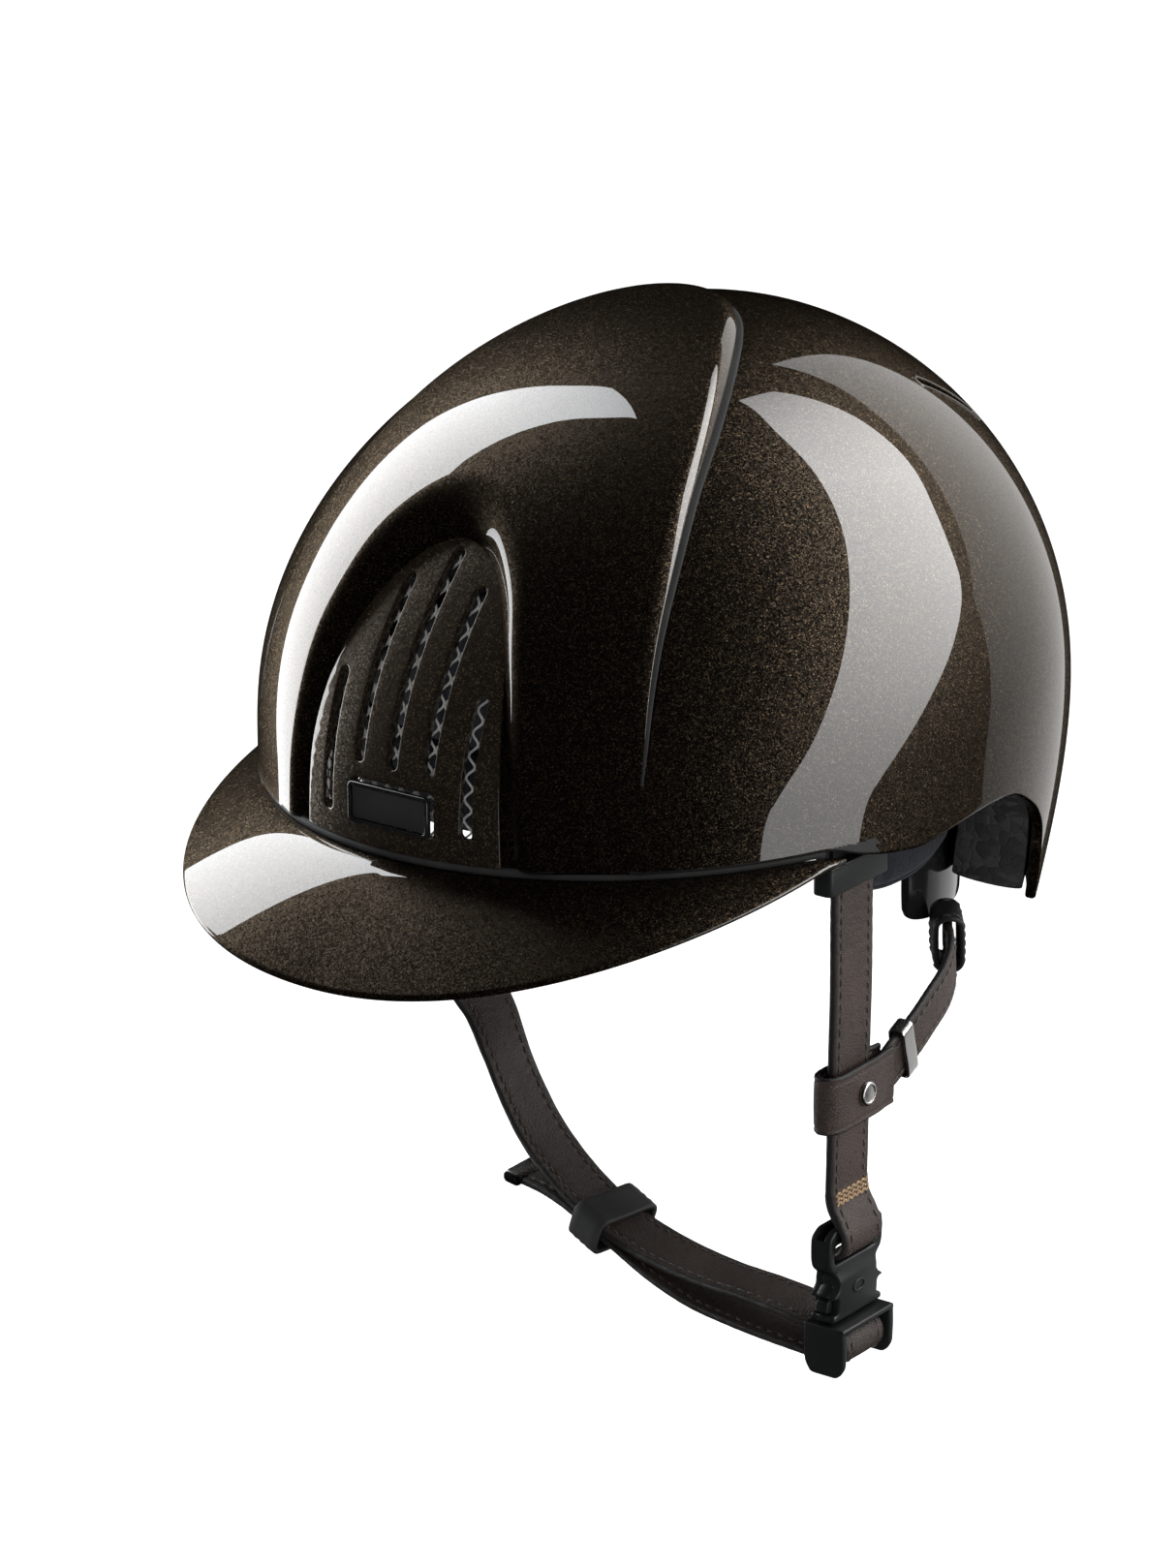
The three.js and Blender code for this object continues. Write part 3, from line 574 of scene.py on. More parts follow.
paint = paint_material("shell_paint")
paint_insert = paint_material("shell_paint_insert", base=(0.0190, 0.0150, 0.0108), metallic=0.62)
# black of the shell's inside, also used as painted shade at the joint over the peak and under the cover's rear edge
inside_black_and_shade = plain_plastic("shell_inside_black_and_painted_shade", (0.0035, 0.0035, 0.0035), 0.5)
gloss_black = plain_plastic("gloss_black_plastic", (0.006, 0.006, 0.0065), 0.12, grain=300, depth=0.00001, coat=0.6, spread=0.05)
satin_black = plain_plastic("satin_black_plastic", (0.012, 0.012, 0.012), 0.34, grain=1300, depth=0.00003)
hardware = plain_plastic("hardware_grey_plastic", (0.0062, 0.0068, 0.0070), 0.40, grain=1700, depth=0.00007)
hardware.node_tree.nodes["Principled BSDF"].inputs["Specular IOR Level"].default_value = 0.30
leather = leather_material("strap_leather_brown", (0.0175, 0.0108, 0.0085), (0.045, 0.0290, 0.0232))
leather_dark = leather_material("chin_leather_brown", (0.0125, 0.0088, 0.0072), (0.036, 0.0255, 0.0205), rough=0.44)
edge_paint = leather_material("leather_edge_paint", (0.006, 0.0055, 0.005), (0.016, 0.013, 0.012), rough=0.42, grain=2200, depth=0.0001)
black_leather = leather_material("black_leather", (0.005, 0.005, 0.005), (0.014, 0.013, 0.013), rough=0.40)
thread = thread_material("brown_thread", (0.010, 0.007, 0.005), (0.030, 0.021, 0.015))
gold_thread = thread_material("tan_thread", (0.13, 0.078, 0.034), (0.34, 0.215, 0.105))
black_thread = thread_material("black_thread", (0.006, 0.006, 0.006), (0.02, 0.02, 0.02))
cloth = cloth_material("liner_cloth", (0.0022, 0.0025, 0.0038), (0.0085, 0.0095, 0.014))
foam = foam_material("bead_foam")
metal = metal_material("rivet_metal")
wire_metal = metal_material("wire_metal", (0.78, 0.77, 0.74), 0.34)
wire_metal.node_tree.nodes["Principled BSDF"].inputs["Metallic"].default_value = 0.55
rubber = rubber_material("keeper_rubber")
rubber.node_tree.nodes["Principled BSDF"].inputs["Specular IOR Level"].default_value = 0.3

# ------------------------------------------------------------------ main shell
T_SHELL, T_COVER = 3.0, 2.2


def edge_rows(R, T, n=5):
    """(inset, drop) rows round an outer edge of radius R (per column) on a wall T thick, from the top face down to the bottom face."""
    R = np.asarray(R, float)
    a = np.linspace(0, PI / 2, n)
    top = [(R * (1 - math.sin(x)), -R * (1 - math.cos(x))) for x in a]
    r2 = np.minimum(R, T - R) * 0.7
    bot = [(r2 * (1 - math.cos(x)), -T + r2 * (1 - math.sin(x))) for x in a]
    return top + bot


def panel(name, rows, mats, caps=True, flip=False, sharp=None, seam=None, fmat=None):
    """rows: list of (q, off, custom) with q (n, 2), off (n,); the closed section of a wall, one row after another."""
    Q = np.stack([r[0] for r in rows], 1)
    O = np.stack([np.broadcast_to(r[1], r[0].shape[:1]) for r in rows], 1)
    P, N = surf(Q)
    V = P + N * O[..., None]
    nu, nv = V.shape[:2]
    F = grid_faces(nu, nv, wv=True, flip=flip)
    M = [fmat[f[0] % nv] for f in F] if fmat else [0] * len(F)
    if caps:
        F.append(tuple(range(nv)) if not flip else tuple(range(nv))[::-1])
        F.append(tuple(range((nu - 1) * nv, nu * nv))[::-1] if not flip else tuple(range((nu - 1) * nv, nu * nv)))
        M += [1 if len(mats) > 1 else 0] * 2
    return V, F, M


def grid_normals(V, wu=False, wv=True):
    du = np.roll(V, -1, 0) - np.roll(V, 1, 0)
    if not wu:
        du[0], du[-1] = V[1] - V[0], V[-1] - V[-2]
    dv = np.roll(V, -1, 1) - np.roll(V, 1, 1)
    if not wv:
        dv[:, 0], dv[:, -1] = V[:, 1] - V[:, 0], V[:, -1] - V[:, -2]
    return unit(np.cross(du, dv))


def wall(name, qa, qb, off, T, Ra, Rb, n_out, n_in, mats, bias=1.0, inner_mat=1, extra=None):
    """A shell wall between two boundary lines qa and qb (n, 2): outer face raised by off(q), thickness T, edges rounded by Ra and Rb."""
    L = np.maximum(line_len(qa, qb), 1e-6)
    frac = lambda d: np.clip(d / L, 0, 1)
    rows = []
    P = lambda t: qa + (qb - qa) * np.asarray(t)[:, None]
    ones = np.ones(len(qa))
    # edge a from the bottom up, outer face from a to b, edge b down, inner face back
    for d, h in edge_rows(Ra, T)[::-1]:
        rows.append((frac(d), h * ones, 0))
    for k in range(1, n_out):
        w = k / n_out
        w = w ** bias
        rows.append((frac(Ra + (L - Ra - Rb) * w), 0 * ones, 1))
    for d, h in edge_rows(Rb, T):
        rows.append((1 - frac(d), h * ones, 0))
    for k in range(1, n_in):
        w = 1 - k / n_in
        rows.append((frac(1.5 + (L - 3.0) * w), -T * ones, 2))
    Q = np.stack([P(r[0]) for r in rows], 1)
    H = np.stack([r[1] for r in rows], 1)
    kind = [r[2] for r in rows]
    base_off = off(Q)
    if extra is not None:
        base_off = base_off + extra(Q)
    Pt, N = surf(Q)
    V = Pt + N * (base_off + H)[..., None]
    nu, nv = V.shape[:2]
    GN = grid_normals(V)
    sign = np.sign((GN[nu // 2, len(edge_rows(0 * ones, T)) + 3] * N[nu // 2, len(edge_rows(0 * ones, T)) + 3]).sum())
    GN = GN * sign
    flip = sign < 0
    # where the edge radius is nil the wall meets its neighbour: keep the surface normal there
    good = np.isfinite(GN).all(-1) & (np.linalg.norm(GN, axis=-1) > 0.5)
    GN = np.where(good[..., None], GN, N)
    F = grid_faces(nu, nv, wv=True, flip=flip)
    M = []
    for f in F:
        j = f[0] % nv
        M.append(inner_mat if kind[j] == 2 or kind[(j + 1) % nv] == 2 else 0)
    cap = tuple(range(nv))
    F += [cap[::-1] if not flip else cap, tuple(i + (nu - 1) * nv for i in (cap if not flip else cap[::-1]))]
    M += [inner_mat, inner_mat]
    return V, GN, F, M, kind, Q, N


rim_deg = lambda n: None
# boundary of the main shell along the cover: runs in under the cover at the crown, open groove at the sides, flush at the foot
P_O = dome_q(Q_O)
z_o = P_O[:, 2]
under = np.interp(z_o, [0, 27, 34, 72, 86, 200], [0, 0, -1.2, -1.2, 7, 7])
under = gauss(under[:, None], 3)[:, 0]
tang = np.gradient(P_O, axis=0)
tq = np.gradient(Q_O, axis=0)
# a step of 1 mm towards the inside of the cover, in q
nq = np.stack([-tq[:, 1], tq[:, 0]], 1)
nq = nq / np.linalg.norm(nq, axis=1, keepdims=True)
if np.dot(nq[NU // 2], -Q_O[NU // 2] + [0, -0.2]) < 0:
    nq = -nq
step = np.linalg.norm(dome_q(Q_O + nq * 1e-3) - P_O, axis=1)
nq = nq * (1e-3 / step)[:, None]
Q_S = Q_O + nq * under[:, None]
Q_S[0], Q_S[-1] = Q_O[0], Q_O[-1]

phs = math.degrees(_ph0)
_deg = np.linspace(phs, 360 - phs, 4000)
_degs = np.where(_deg > 180, _deg - 360, _deg)
_rimq = to_q(np.radians(_degs), (rim_z(_degs) - EQ) / 105)
Q_RIM = resample(np.concatenate([_rimq, dome_q(_rimq) * 0.006], 1), NU)[:, :2]
Q_RIM[0], Q_RIM[-1] = Q_O[0], Q_O[-1]
order = slice(None) if np.linalg.norm(Q_RIM[5] - Q_O[5]) < np.linalg.norm(Q_RIM[-5] - Q_O[5]) else slice(None, None, -1)
Q_RIM = Q_RIM[order]

R_step = np.clip(np.interp(z_o, [0, 27, 40, 90, 126], [0.0, 0.0, 0.45, 0.9, 1.0]), 0.0, 1.05)
shell = Build()
flat0 = lambda q: np.zeros(q.shape[:-1])
V, GN, F, M, kind, Q, N = wall("main_shell", Q_S, Q_RIM, flat0, T_SHELL, np.minimum(R_step, 0.5), np.full(NU, 1.25), 96, 16, None)
k1 = np.array(kind) == 1
GN[:, k1] = N[:, k1]
# rear outlets: the wall is open under the outlet frames
VENTS = []
for side in (1, -1):
    x_ = unit(np.array([side * 3.1, 26.9, -15.8]))
    up_ = np.array([side * 0.52, 0.38, 0.76])
    z_ = unit(up_ - x_ * (up_ @ x_))
    y_ = np.cross(z_, x_)
    VENTS.append((np.array([side * 56, 42, 93.0]), x_, y_, z_))


def in_vent(P, grow):
    hit = np.zeros(P.shape[:-1], bool)
    for c, x_, y_, z_ in VENTS:
        d = P - c
        u, v, w = d @ x_, d @ y_, d @ z_
        L2 = 15 - 1.8
        r = np.hypot(np.maximum(np.abs(u) - L2, 0), v)
        hit |= (r < 1.8 + grow) & (np.abs(w) < 14)
    return hit


Vf = V.reshape(-1, 3)
cen = np.array([Vf[list(f)].mean(0) if len(f) == 4 else [0, 0, 0] for f in F])
keep = ~in_vent(cen, 0.55)
F = [f for f, k in zip(F, keep) if k]
M = [m for m, k in zip(M, keep) if k]
# the shell's front rim faces just above the peak take the inside black: painted shade for the dark joint between shell
# and peak
M = [1 if c[2] < 0.9 and c[1] < -52 and c[2] > -3 else m for m, c in zip(M, [Vf[list(f)].mean(0) for f in F])]
main_shell = mesh_object("main_shell", Vf, F, [paint, inside_black_and_shade], fmat=M, normals=GN.reshape(-1, 3))
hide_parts("rear_shell")
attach(main_shell, "helmet")

# ------------------------------------------------------------------ front cover with the channel round the grille
LRI = line_len(Q_I, Q_R)
ROLL_W = np.interp(z_o, [0, 27, 45, 70, 90, 126], [1.0, 1.0, 4.0, 7.0, 9.0, 9.5])
ROLL_D = np.minimum(np.interp(z_o, [0, 27, 40, 60, 90, 126], [0.0, 0.0, 0.35, 1.1, 2.3, 3.0]), proud_z(z_o) * 0.8)
roll = lambda d: ROLL_D * np.clip(1 - d / ROLL_W, 0, 1) ** 2.1
T_EDGE = np.clip(proud_z(z_o) - ROLL_D + 0.3, T_COVER, 4.9)
R_EDGE = np.minimum(np.interp(z_o, [0, 27, 40, 60, 80, 126], [0.0, 0.0, 0.4, 0.8, 1.1, 1.3]), T_EDGE * 0.6) + 1e-4


def cover_section():
    ones = np.ones(NU)
    zR = dome_q(Q_R)[:, 2]
    rows = []          # (q, offset, kind)
    start = smooth01(5, 80, zR) * 0.38
    start = 0.50 - start
    P_I = dome_q(Q_I)[:, 2]
    n1 = 26
    for k in range(n1):
        t = k / n1
        q = Q_I + (Q_R - Q_I) * t - (Q_R - Q_I) * (1.6 / LRI)[:, None] * (1 - t)
        depth = insert_off(np.clip(P_I, 0, 90)) - 1.6
        top = proud(q)
        f = 1 - (1 - np.clip((t - start) / (1 - start), 0, 1)) ** 2.2
        rows.append((q, mix(depth, top, f), 1))
    L = line_len(Q_R, Q_O)
    n2 = 44
    for k in range(n2):
        t = (1 - (1 - k / n2) ** 1.7) * (L - R_EDGE * 1.05) / L
        q = Q_R + (Q_O - Q_R) * t[:, None]
        rows.append((q, proud(q) - roll(L * (1 - t)), 1))
    # the lower rows of the edge's rounding (j from 12) take the inside black: painted shade for the dark crease under
    # the cover's rear edge
    for j, (d, h) in enumerate(edge_rows(R_EDGE, T_EDGE, 9)):
        t = 1 - d / L
        q = Q_R + (Q_O - Q_R) * t[:, None]
        rows.append((q, proud(q) - roll(d) + h, 0 if j < 12 else 2))
    for k in range(1, 14):
        t = 1 - k / 14
        d = 1.5 + (L - 1.5) * (1 - t)
        q = Q_R + (Q_O - Q_R) * (1 - d / L)[:, None]
        rows.append((q, proud(q) - roll(d) - mix(T_COVER, T_EDGE, np.exp(-d / 3)), 2))
    for k in range(0, 9):
        t = 1 - k / 8
        q = Q_I + (Q_R - Q_I) * t - (Q_R - Q_I) * (1.6 / LRI)[:, None] * (1 - t)
        depth = insert_off(np.clip(P_I, 0, 90)) - 1.6
        f = 1 - (1 - np.clip((t - start) / (1 - start), 0, 1)) ** 2.2
        rows.append((q, mix(depth, proud(q), f) - T_COVER * (0.55 + 0.45 * t), 2))
    return rows


rows = cover_section()
Q = np.stack([r[0] for r in rows], 1)
H = np.stack([np.broadcast_to(r[1], NU) for r in rows], 1)
kind = np.array([r[2] for r in rows])
P, N = surf(Q)
V = P + N * H[..., None]
GN = grid_normals(V)
sgn = np.sign((GN[NU // 2, 40] * N[NU // 2, 40]).sum())
GN = GN * sgn
bad = ~np.isfinite(GN).all(-1) | (np.linalg.norm(GN, axis=-1) < 0.5)
GN = np.where(bad[..., None], N, GN)
edge_j = np.where(kind == 0)[0][0]
low = (z_o < 29)
for j in range(edge_j - 3, edge_j + 5):
    w = np.where(low, 1.0, 0.0)[:, None]
    GN[:, j] = np.where(w > 0, N[:, j], GN[:, j])
nu, nv = V.shape[:2]
F = grid_faces(nu, nv, wv=True, flip=sgn < 0)
M = [1 if kind[f[0] % nv] == 2 else 0 for f in F]
cap = tuple(range(nv))
F += [cap[::-1] if sgn > 0 else cap, tuple(i + (nu - 1) * nv for i in (cap if sgn > 0 else cap[::-1]))]
M += [1, 1]
Vf = V.reshape(-1, 3)
# the cover's faces below 0.9 mm take the inside black: painted shade for the dark joint over the peak
M = [1 if Vf[list(f)].mean(0)[2] < 0.9 else m for m, f in zip(M, F)]
front_cover = mesh_object("front_cover", V.reshape(-1, 3), F, [paint, inside_black_and_shade], fmat=M, normals=GN.reshape(-1, 3))
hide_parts("front_shell", "grille_carrier")
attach(front_cover, "helmet")


# a dark strip laid on the shell along the cover's rear edge: painted shade standing in for the shadowed groove between
# cover and shell
shade_strip_w = gauss(np.interp(z_o, [0, 24, 30, 60, 100, 126], [0, 0, 0.8, 1.3, 1.9, 1.9])[:, None], 4)[:, 0]
shade_strip_rows = np.where(z_o > 24)[0]
rows = []
for a, h in ((-0.5, -0.3), (-0.45, 0.05), (0.0, 0.08), (0.55, 0.08), (0.95, 0.07), (1.0, 0.0), (1.0, -0.3), (0.2, -0.4)):
    P, N = surf(Q_O - nq * (a * shade_strip_w if a > 0 else a * np.ones(NU))[:, None])
    rows.append((P + N * h)[shade_strip_rows[0]:shade_strip_rows[-1] + 1])
V = np.stack(rows, 1)
F = grid_faces(len(V), len(rows), wv=True) + [tuple(range(8))[::-1], tuple((len(V) - 1) * 8 + i for i in range(8))]
# the strip borrows the dark rubber material; its darkness is painted shade
o = mesh_object("cover_joint_shade_strip", V.reshape(-1, 3), F, [rubber])
weld_later = o
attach(o, "helmet")


# ------------------------------------------------------------------ plates with rounded edges
def offset_poly(P, d):
    """Moves a closed counter-clockwise polygon inwards by d."""
    P = np.asarray(P, float)
    e = unit(np.roll(P, -1, 0) - P)
    n = np.stack([-e[:, 1], e[:, 0]], 1)
    a, b = np.roll(n, 1, 0), n
    m = (a + b) / np.maximum(1 + (a * b).sum(1, keepdims=True), 0.35)
    return P + m * d


def area2(P):
    P = np.asarray(P)
    return 0.5 * (P[:, 0] * np.roll(P[:, 1], -1) - np.roll(P[:, 0], -1) * P[:, 1]).sum()


def ccw(P):
    P = np.asarray(P, float)
    return P if area2(P) > 0 else P[::-1]


def inside(P, pts):
    x, y = pts[:, 0], pts[:, 1]
    c = np.zeros(len(pts), bool)
    for (x0, y0), (x1, y1) in zip(P, np.roll(P, -1, 0)):
        hit = ((y0 > y) != (y1 > y)) & (x < (x1 - x0) * (y - y0) / (y1 - y0 + 1e-12) + x0)
        c ^= hit
    return c


def fill(outer, holes, spacing=None):
    """Triangles of a region: returns points and faces, the given contours first."""
    loops = [outer] + list(holes)
    pts = [tuple(p) for l in loops for p in l]
    edges, n = [], 0
    for l in loops:
        edges += [(n + i, n + (i + 1) % len(l)) for i in range(len(l))]
        n += len(l)
    if spacing:
        lo, hi = np.min(outer, 0), np.max(outer, 0)
        gx, gy = np.meshgrid(np.arange(lo[0] + spacing / 2, hi[0], spacing), np.arange(lo[1] + spacing / 2, hi[1], spacing))
        gx = gx + (np.arange(gx.shape[0]) % 2)[:, None] * spacing / 2
        g = np.stack([gx.ravel(), gy.ravel()], 1)
        ok = inside(offset_poly(outer, spacing * 0.4), g)
        for h in holes:
            ok &= ~inside(offset_poly(h, -spacing * 0.4), g)
        pts += [tuple(p) for p in g[ok]]
    out = delaunay_2d_cdt([Vector(p) for p in pts], edges, [], 0, 1e-7)
    vs, fs = np.array([tuple(v) for v in out[0]]), out[2]
    c = np.array([vs[list(f)].mean(0) for f in fs])
    ok = inside(outer, c)
    for h in holes:
        ok &= ~inside(h, c)
    fs = [tuple(f) for f, k in zip(fs, ok) if k]
    fs = [f if area2(vs[list(f)]) > 0 else f[::-1] for f in fs]
    return vs, fs


def plate(outer, holes, z0, z1, r, at, steps=4, spacing=None, rb=None, m_top=0, m_side=0, m_bottom=0, build=None, close=True):
    """A flat or curved plate. at(uv, h) maps plan points (n, 2) and heights (n,) to space. Edges are rounded by r on top and rb below."""
    outer = ccw(outer)
    holes = [ccw(h) for h in holes]
    rb = r if rb is None else rb
    B = build or Build()
    a = np.linspace(0, PI / 2, steps + 1)
    sec = [(rb * (1 - math.cos(t)), z0 + rb * (1 - math.sin(t))) for t in a[::-1]] + [(r * (1 - math.cos(t)), z1 - r * (1 - math.sin(t))) for t in a]
    if rb == 0:
        sec = [(0, z0)] + sec[steps + 1:]
    if r == 0:
        sec = sec[:-(steps + 1)] + [(0, z1)]
    top_loops, bot_loops = [], []
    for k, loop in enumerate([outer] + holes):
        s = 1 if k == 0 else -1
        rows = [offset_poly(loop, s * d) for d, h in sec]
        V = np.concatenate([at(rw, np.full(len(rw), h)) for rw, (d, h) in zip(rows, sec)])
        n = len(loop)
        F = []
        for j in range(len(sec) - 1):
            for i in range(n):
                q = (j * n + i, j * n + (i + 1) % n, (j + 1) * n + (i + 1) % n, (j + 1) * n + i)
                F.append(q if s > 0 else q[::-1])
        B.add(V, F, m_side)
        top_loops.append(rows[-1])
        bot_loops.append(rows[0])
    vs, fs = fill(top_loops[0], top_loops[1:], spacing)
    B.add(at(vs, np.full(len(vs), sec[-1][1])), fs, m_top)
    if close:
        vs, fs = fill(bot_loops[0], bot_loops[1:], spacing * 2 if spacing else None)
        B.add(at(vs, np.full(len(vs), sec[0][1])), [f[::-1] for f in fs], m_bottom)
    return B


def weld(o, dist=1e-6):
    import bmesh
    bm = bmesh.new()
    bm.from_mesh(o.data)
    bmesh.ops.remove_doubles(bm, verts=bm.verts, dist=dist)
    bmesh.ops.recalc_face_normals(bm, faces=bm.faces)
    bm.to_mesh(o.data)
    bm.free()
    return o


def rounded_rect(w, h, r, n=6, cx=0.0, cy=0.0):
    out = []
    for sx, sy, a0 in ((1, -1, -90), (1, 1, 0), (-1, 1, 90), (-1, -1, 180)):
        for i in range(n + 1):
            a = math.radians(a0 + 90 * i / n)
            out.append((cx + sx * (w / 2 - r) + r * math.cos(a), cy + sy * (h / 2 - r) + r * math.sin(a)))
    return np.array(out)


def stadium(x, z0, z1, w, n=14, m=26):
    r = w / 2
    out = []
    for i in range(n + 1):
        a = math.radians(180 * i / n)
        out.append((x + r * math.cos(a), z1 - r + r * math.sin(a)))
    for i in range(1, m):
        out.append((x - r, mix(z1 - r, z0 + r, i / m)))
    for i in range(n + 1):
        a = math.radians(180 + 180 * i / n)
        out.append((x + r * math.cos(a), z0 + r + r * math.sin(a)))
    for i in range(1, m):
        out.append((x + r, mix(z0 + r, z1 - r, i / m)))
    return np.array(out)


def frame_at(origin, ex, ey, ez):
    o, ex, ey, ez = (np.asarray(v, float) for v in (origin, ex, ey, ez))
    return lambda uv, h: o + uv[:, :1] * ex + uv[:, 1:2] * ey + np.asarray(h)[:, None] * ez


# ------------------------------------------------------------------ grille insert, wire and badge
arch = catmull(symmetric(INSERT), 16)
arch = resample(np.vstack([arch]), 150)
arch[:, 1] = np.maximum(arch[:, 1], 0.3)
foot = np.stack([np.linspace(arch[-1, 0], arch[0, 0], 34)[1:-1], np.full(32, 0.3)], 1)
arch = np.vstack([arch, foot])
SLOTS = [[-22.8, 7, 44], [-11.5, 22.4, 68], [0, 22.3, 75], [11.5, 22.4, 68], [22.8, 7, 44]]


def on_front(off):
    def at(uv, h):
        o = off(uv[:, 1])
        P, N = front(uv[:, 0], uv[:, 1], o)
        return P + N * np.asarray(h)[:, None]
    return at


BADGE = dict(w=26.5, h=11.2, z=12.0)
holes = [stadium(x, a, b, 3.35) for x, a, b in SLOTS]
pocket = rounded_rect(BADGE["w"] + 0.8, BADGE["h"] + 0.8, 1.6, 5, 0, BADGE["z"])
B = plate(arch, holes + [pocket], -2.6, 0, 0.5, on_front(insert_off), steps=5, spacing=1.9, rb=0.2, m_bottom=1)
insert = B.make("grille_arch", [paint_insert, inside_black_and_shade], sharp=50)
weld(insert, 2e-6)
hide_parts("grille_insert")
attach(insert, "helmet")

# woven wire behind the slots
B = Build()
cw = np.stack([np.cos(np.linspace(0, 2 * PI, 7)[:-1]), np.sin(np.linspace(0, 2 * PI, 7)[:-1])], 1) * 0.42


def tube(B, P, radius, sides=6, m=0, closed=False, caps=True, up=None):
    P = np.asarray(P, float)
    n = len(P)
    T = unit(np.gradient(P, axis=0)) if not closed else unit(np.roll(P, -1, 0) - np.roll(P, 1, 0))
    if up is None:
        a = np.array([0.0, 0, 1]) if abs(T[0][2]) < 0.9 else np.array([1.0, 0, 0])
        ups = []
        u = unit(a - T[0] * (a @ T[0]))
        for t in T:
            u = unit(u - t * (u @ t))
            ups.append(u)
        U = np.array(ups)
    else:
        U = unit(up - T * (up * T).sum(1, keepdims=True))
    W = np.cross(T, U)
    ang = np.linspace(0, 2 * PI, sides, endpoint=False)
    rad = np.broadcast_to(np.asarray(radius, float), (n,))
    V = P[:, None] + rad[:, None, None] * (np.cos(ang)[None, :, None] * U[:, None] + np.sin(ang)[None, :, None] * W[:, None])
    F = grid_faces(n, sides, wu=closed, wv=True)
    if caps and not closed:
        F += [tuple(range(sides))[::-1], tuple(range((n - 1) * sides, n * sides))]
    B.add(V, F, m)


mesh_off = lambda z: insert_off(z) - 3.5
PERIOD, PITCH = 5.7, 2.35
for i in range(-14, 15):
    x0 = i * PITCH
    z = np.arange(2.5, 82, PERIOD / 10)
    x = x0 + 0.48 * PITCH * np.cos(2 * PI * z / PERIOD + (PI if i % 2 else 0))
    half = np.interp(z, [r[1] for r in INSERT], [r[0] for r in INSERT]) - 2.6
    lift = 0.30 * np.sin(2 * PI * z / PERIOD + (PI if i % 2 else 0) + 0.8)
    ok = np.abs(x) < half
    if ok.sum() < 6:
        continue
    runs = np.split(np.where(ok)[0], np.where(np.diff(np.where(ok)[0]) > 1)[0] + 1)
    for r in runs:
        if len(r) < 5:
            continue
        P, N = front(x[r], z[r], mesh_off(z[r]))
        tube(B, P + N * lift[r][:, None], 0.35, 6, up=N)
wires = B.make("grille_wire", [wire_metal])
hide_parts("grille_mesh")
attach(wires, "helmet")

# badge: a thin raised frame round a plain plate
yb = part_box("badge_frame")
y_front = yb[0][1] / MM
at_badge = lambda uv, h: np.stack([uv[:, 0], y_front + 1.7 - np.asarray(h), uv[:, 1]], 1)
outer = rounded_rect(BADGE["w"], BADGE["h"], 1.5, 7, 0, BADGE["z"])
innr = rounded_rect(BADGE["w"] - 2.0, BADGE["h"] - 2.0, 0.9, 7, 0, BADGE["z"])
o = plate(outer, [innr], 0, 1.7, 0.42, at_badge, steps=4, rb=0.1).make("badge_rim", [gloss_black], sharp=60)
weld(o)
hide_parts("badge_frame")
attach(o, "helmet")
pl = rounded_rect(BADGE["w"] - 2.5, BADGE["h"] - 2.5, 0.8, 6, 0, BADGE["z"])
o = plate(pl, [], 0, 1.05, 0.12, at_badge, steps=2, rb=0.05).make("badge_blank", [satin_black], sharp=60)
weld(o)
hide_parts("badge_plate")
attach(o, "helmet")

# rear outlet frames with their recessed floors
for (c, x_, y_, z_), nm in zip(VENTS, ("left", "right")):
    def at_v(uv, h, c=c, x_=x_, y_=y_, z_=z_):
        P = c + uv[:, :1] * x_ + uv[:, 1:2] * y_
        ph = np.arctan2(P[:, 0], -P[:, 1])
        s = np.arcsin(np.clip((P[:, 2] - EQ) / 105, -1, 1))
        for _ in range(6):
            D = dome(ph, s)
            n = surf(to_q(ph, s))[1]
            d = P - D
            d = d - n * (d * n).sum(1, keepdims=True)
            T2 = D + d
            ph = np.arctan2(T2[:, 0], -(T2[:, 1] - 1.1 * np.sin(s)))
            s = np.clip(np.arcsin(np.clip((T2[:, 2] - EQ) / 105, -1, 1)), -0.5, PI / 2)
        q = to_q(ph, s)
        D, n = surf(q)
        return D + n * np.asarray(h)[:, None]
    turn = lambda P: P[:, ::-1] * [1, 1]
    ring = stadium(0, -16.4, 16.4, 5.4)[:, ::-1]
    hole = stadium(0, -14.8, 14.8, 2.7)[:, ::-1]
    B = plate(ring, [hole], -2.6, 0.32, 0.6, at_v, steps=5, rb=0.1, m_side=0)
    floor_ = stadium(0, -15.2, 15.2, 4.2)[:, ::-1]
    plate(floor_, [], -3.4, -2.2, 0.2, at_v, steps=2, rb=0.1, m_top=1, m_side=1, m_bottom=1, build=B)
    o = B.make(nm + "_rear_outlet", [paint, satin_black], sharp=60)
    weld(o, 2e-6)
    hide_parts(nm + "_rear_vent")
    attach(o, "helmet")

# ------------------------------------------------------------------ peak
def peak_edge(t):
    s, c = np.sin(t), np.abs(np.cos(t))
    x = 94.7 * np.sign(s) * np.abs(s) ** 0.8
    y = -59.5 - 108.7 * c ** 1.1
    z = -26.4 + 24.8 * np.clip((y + 168.2) / 108.7, 0, 1) ** 0.7
    return np.stack([x, y, z], -1)


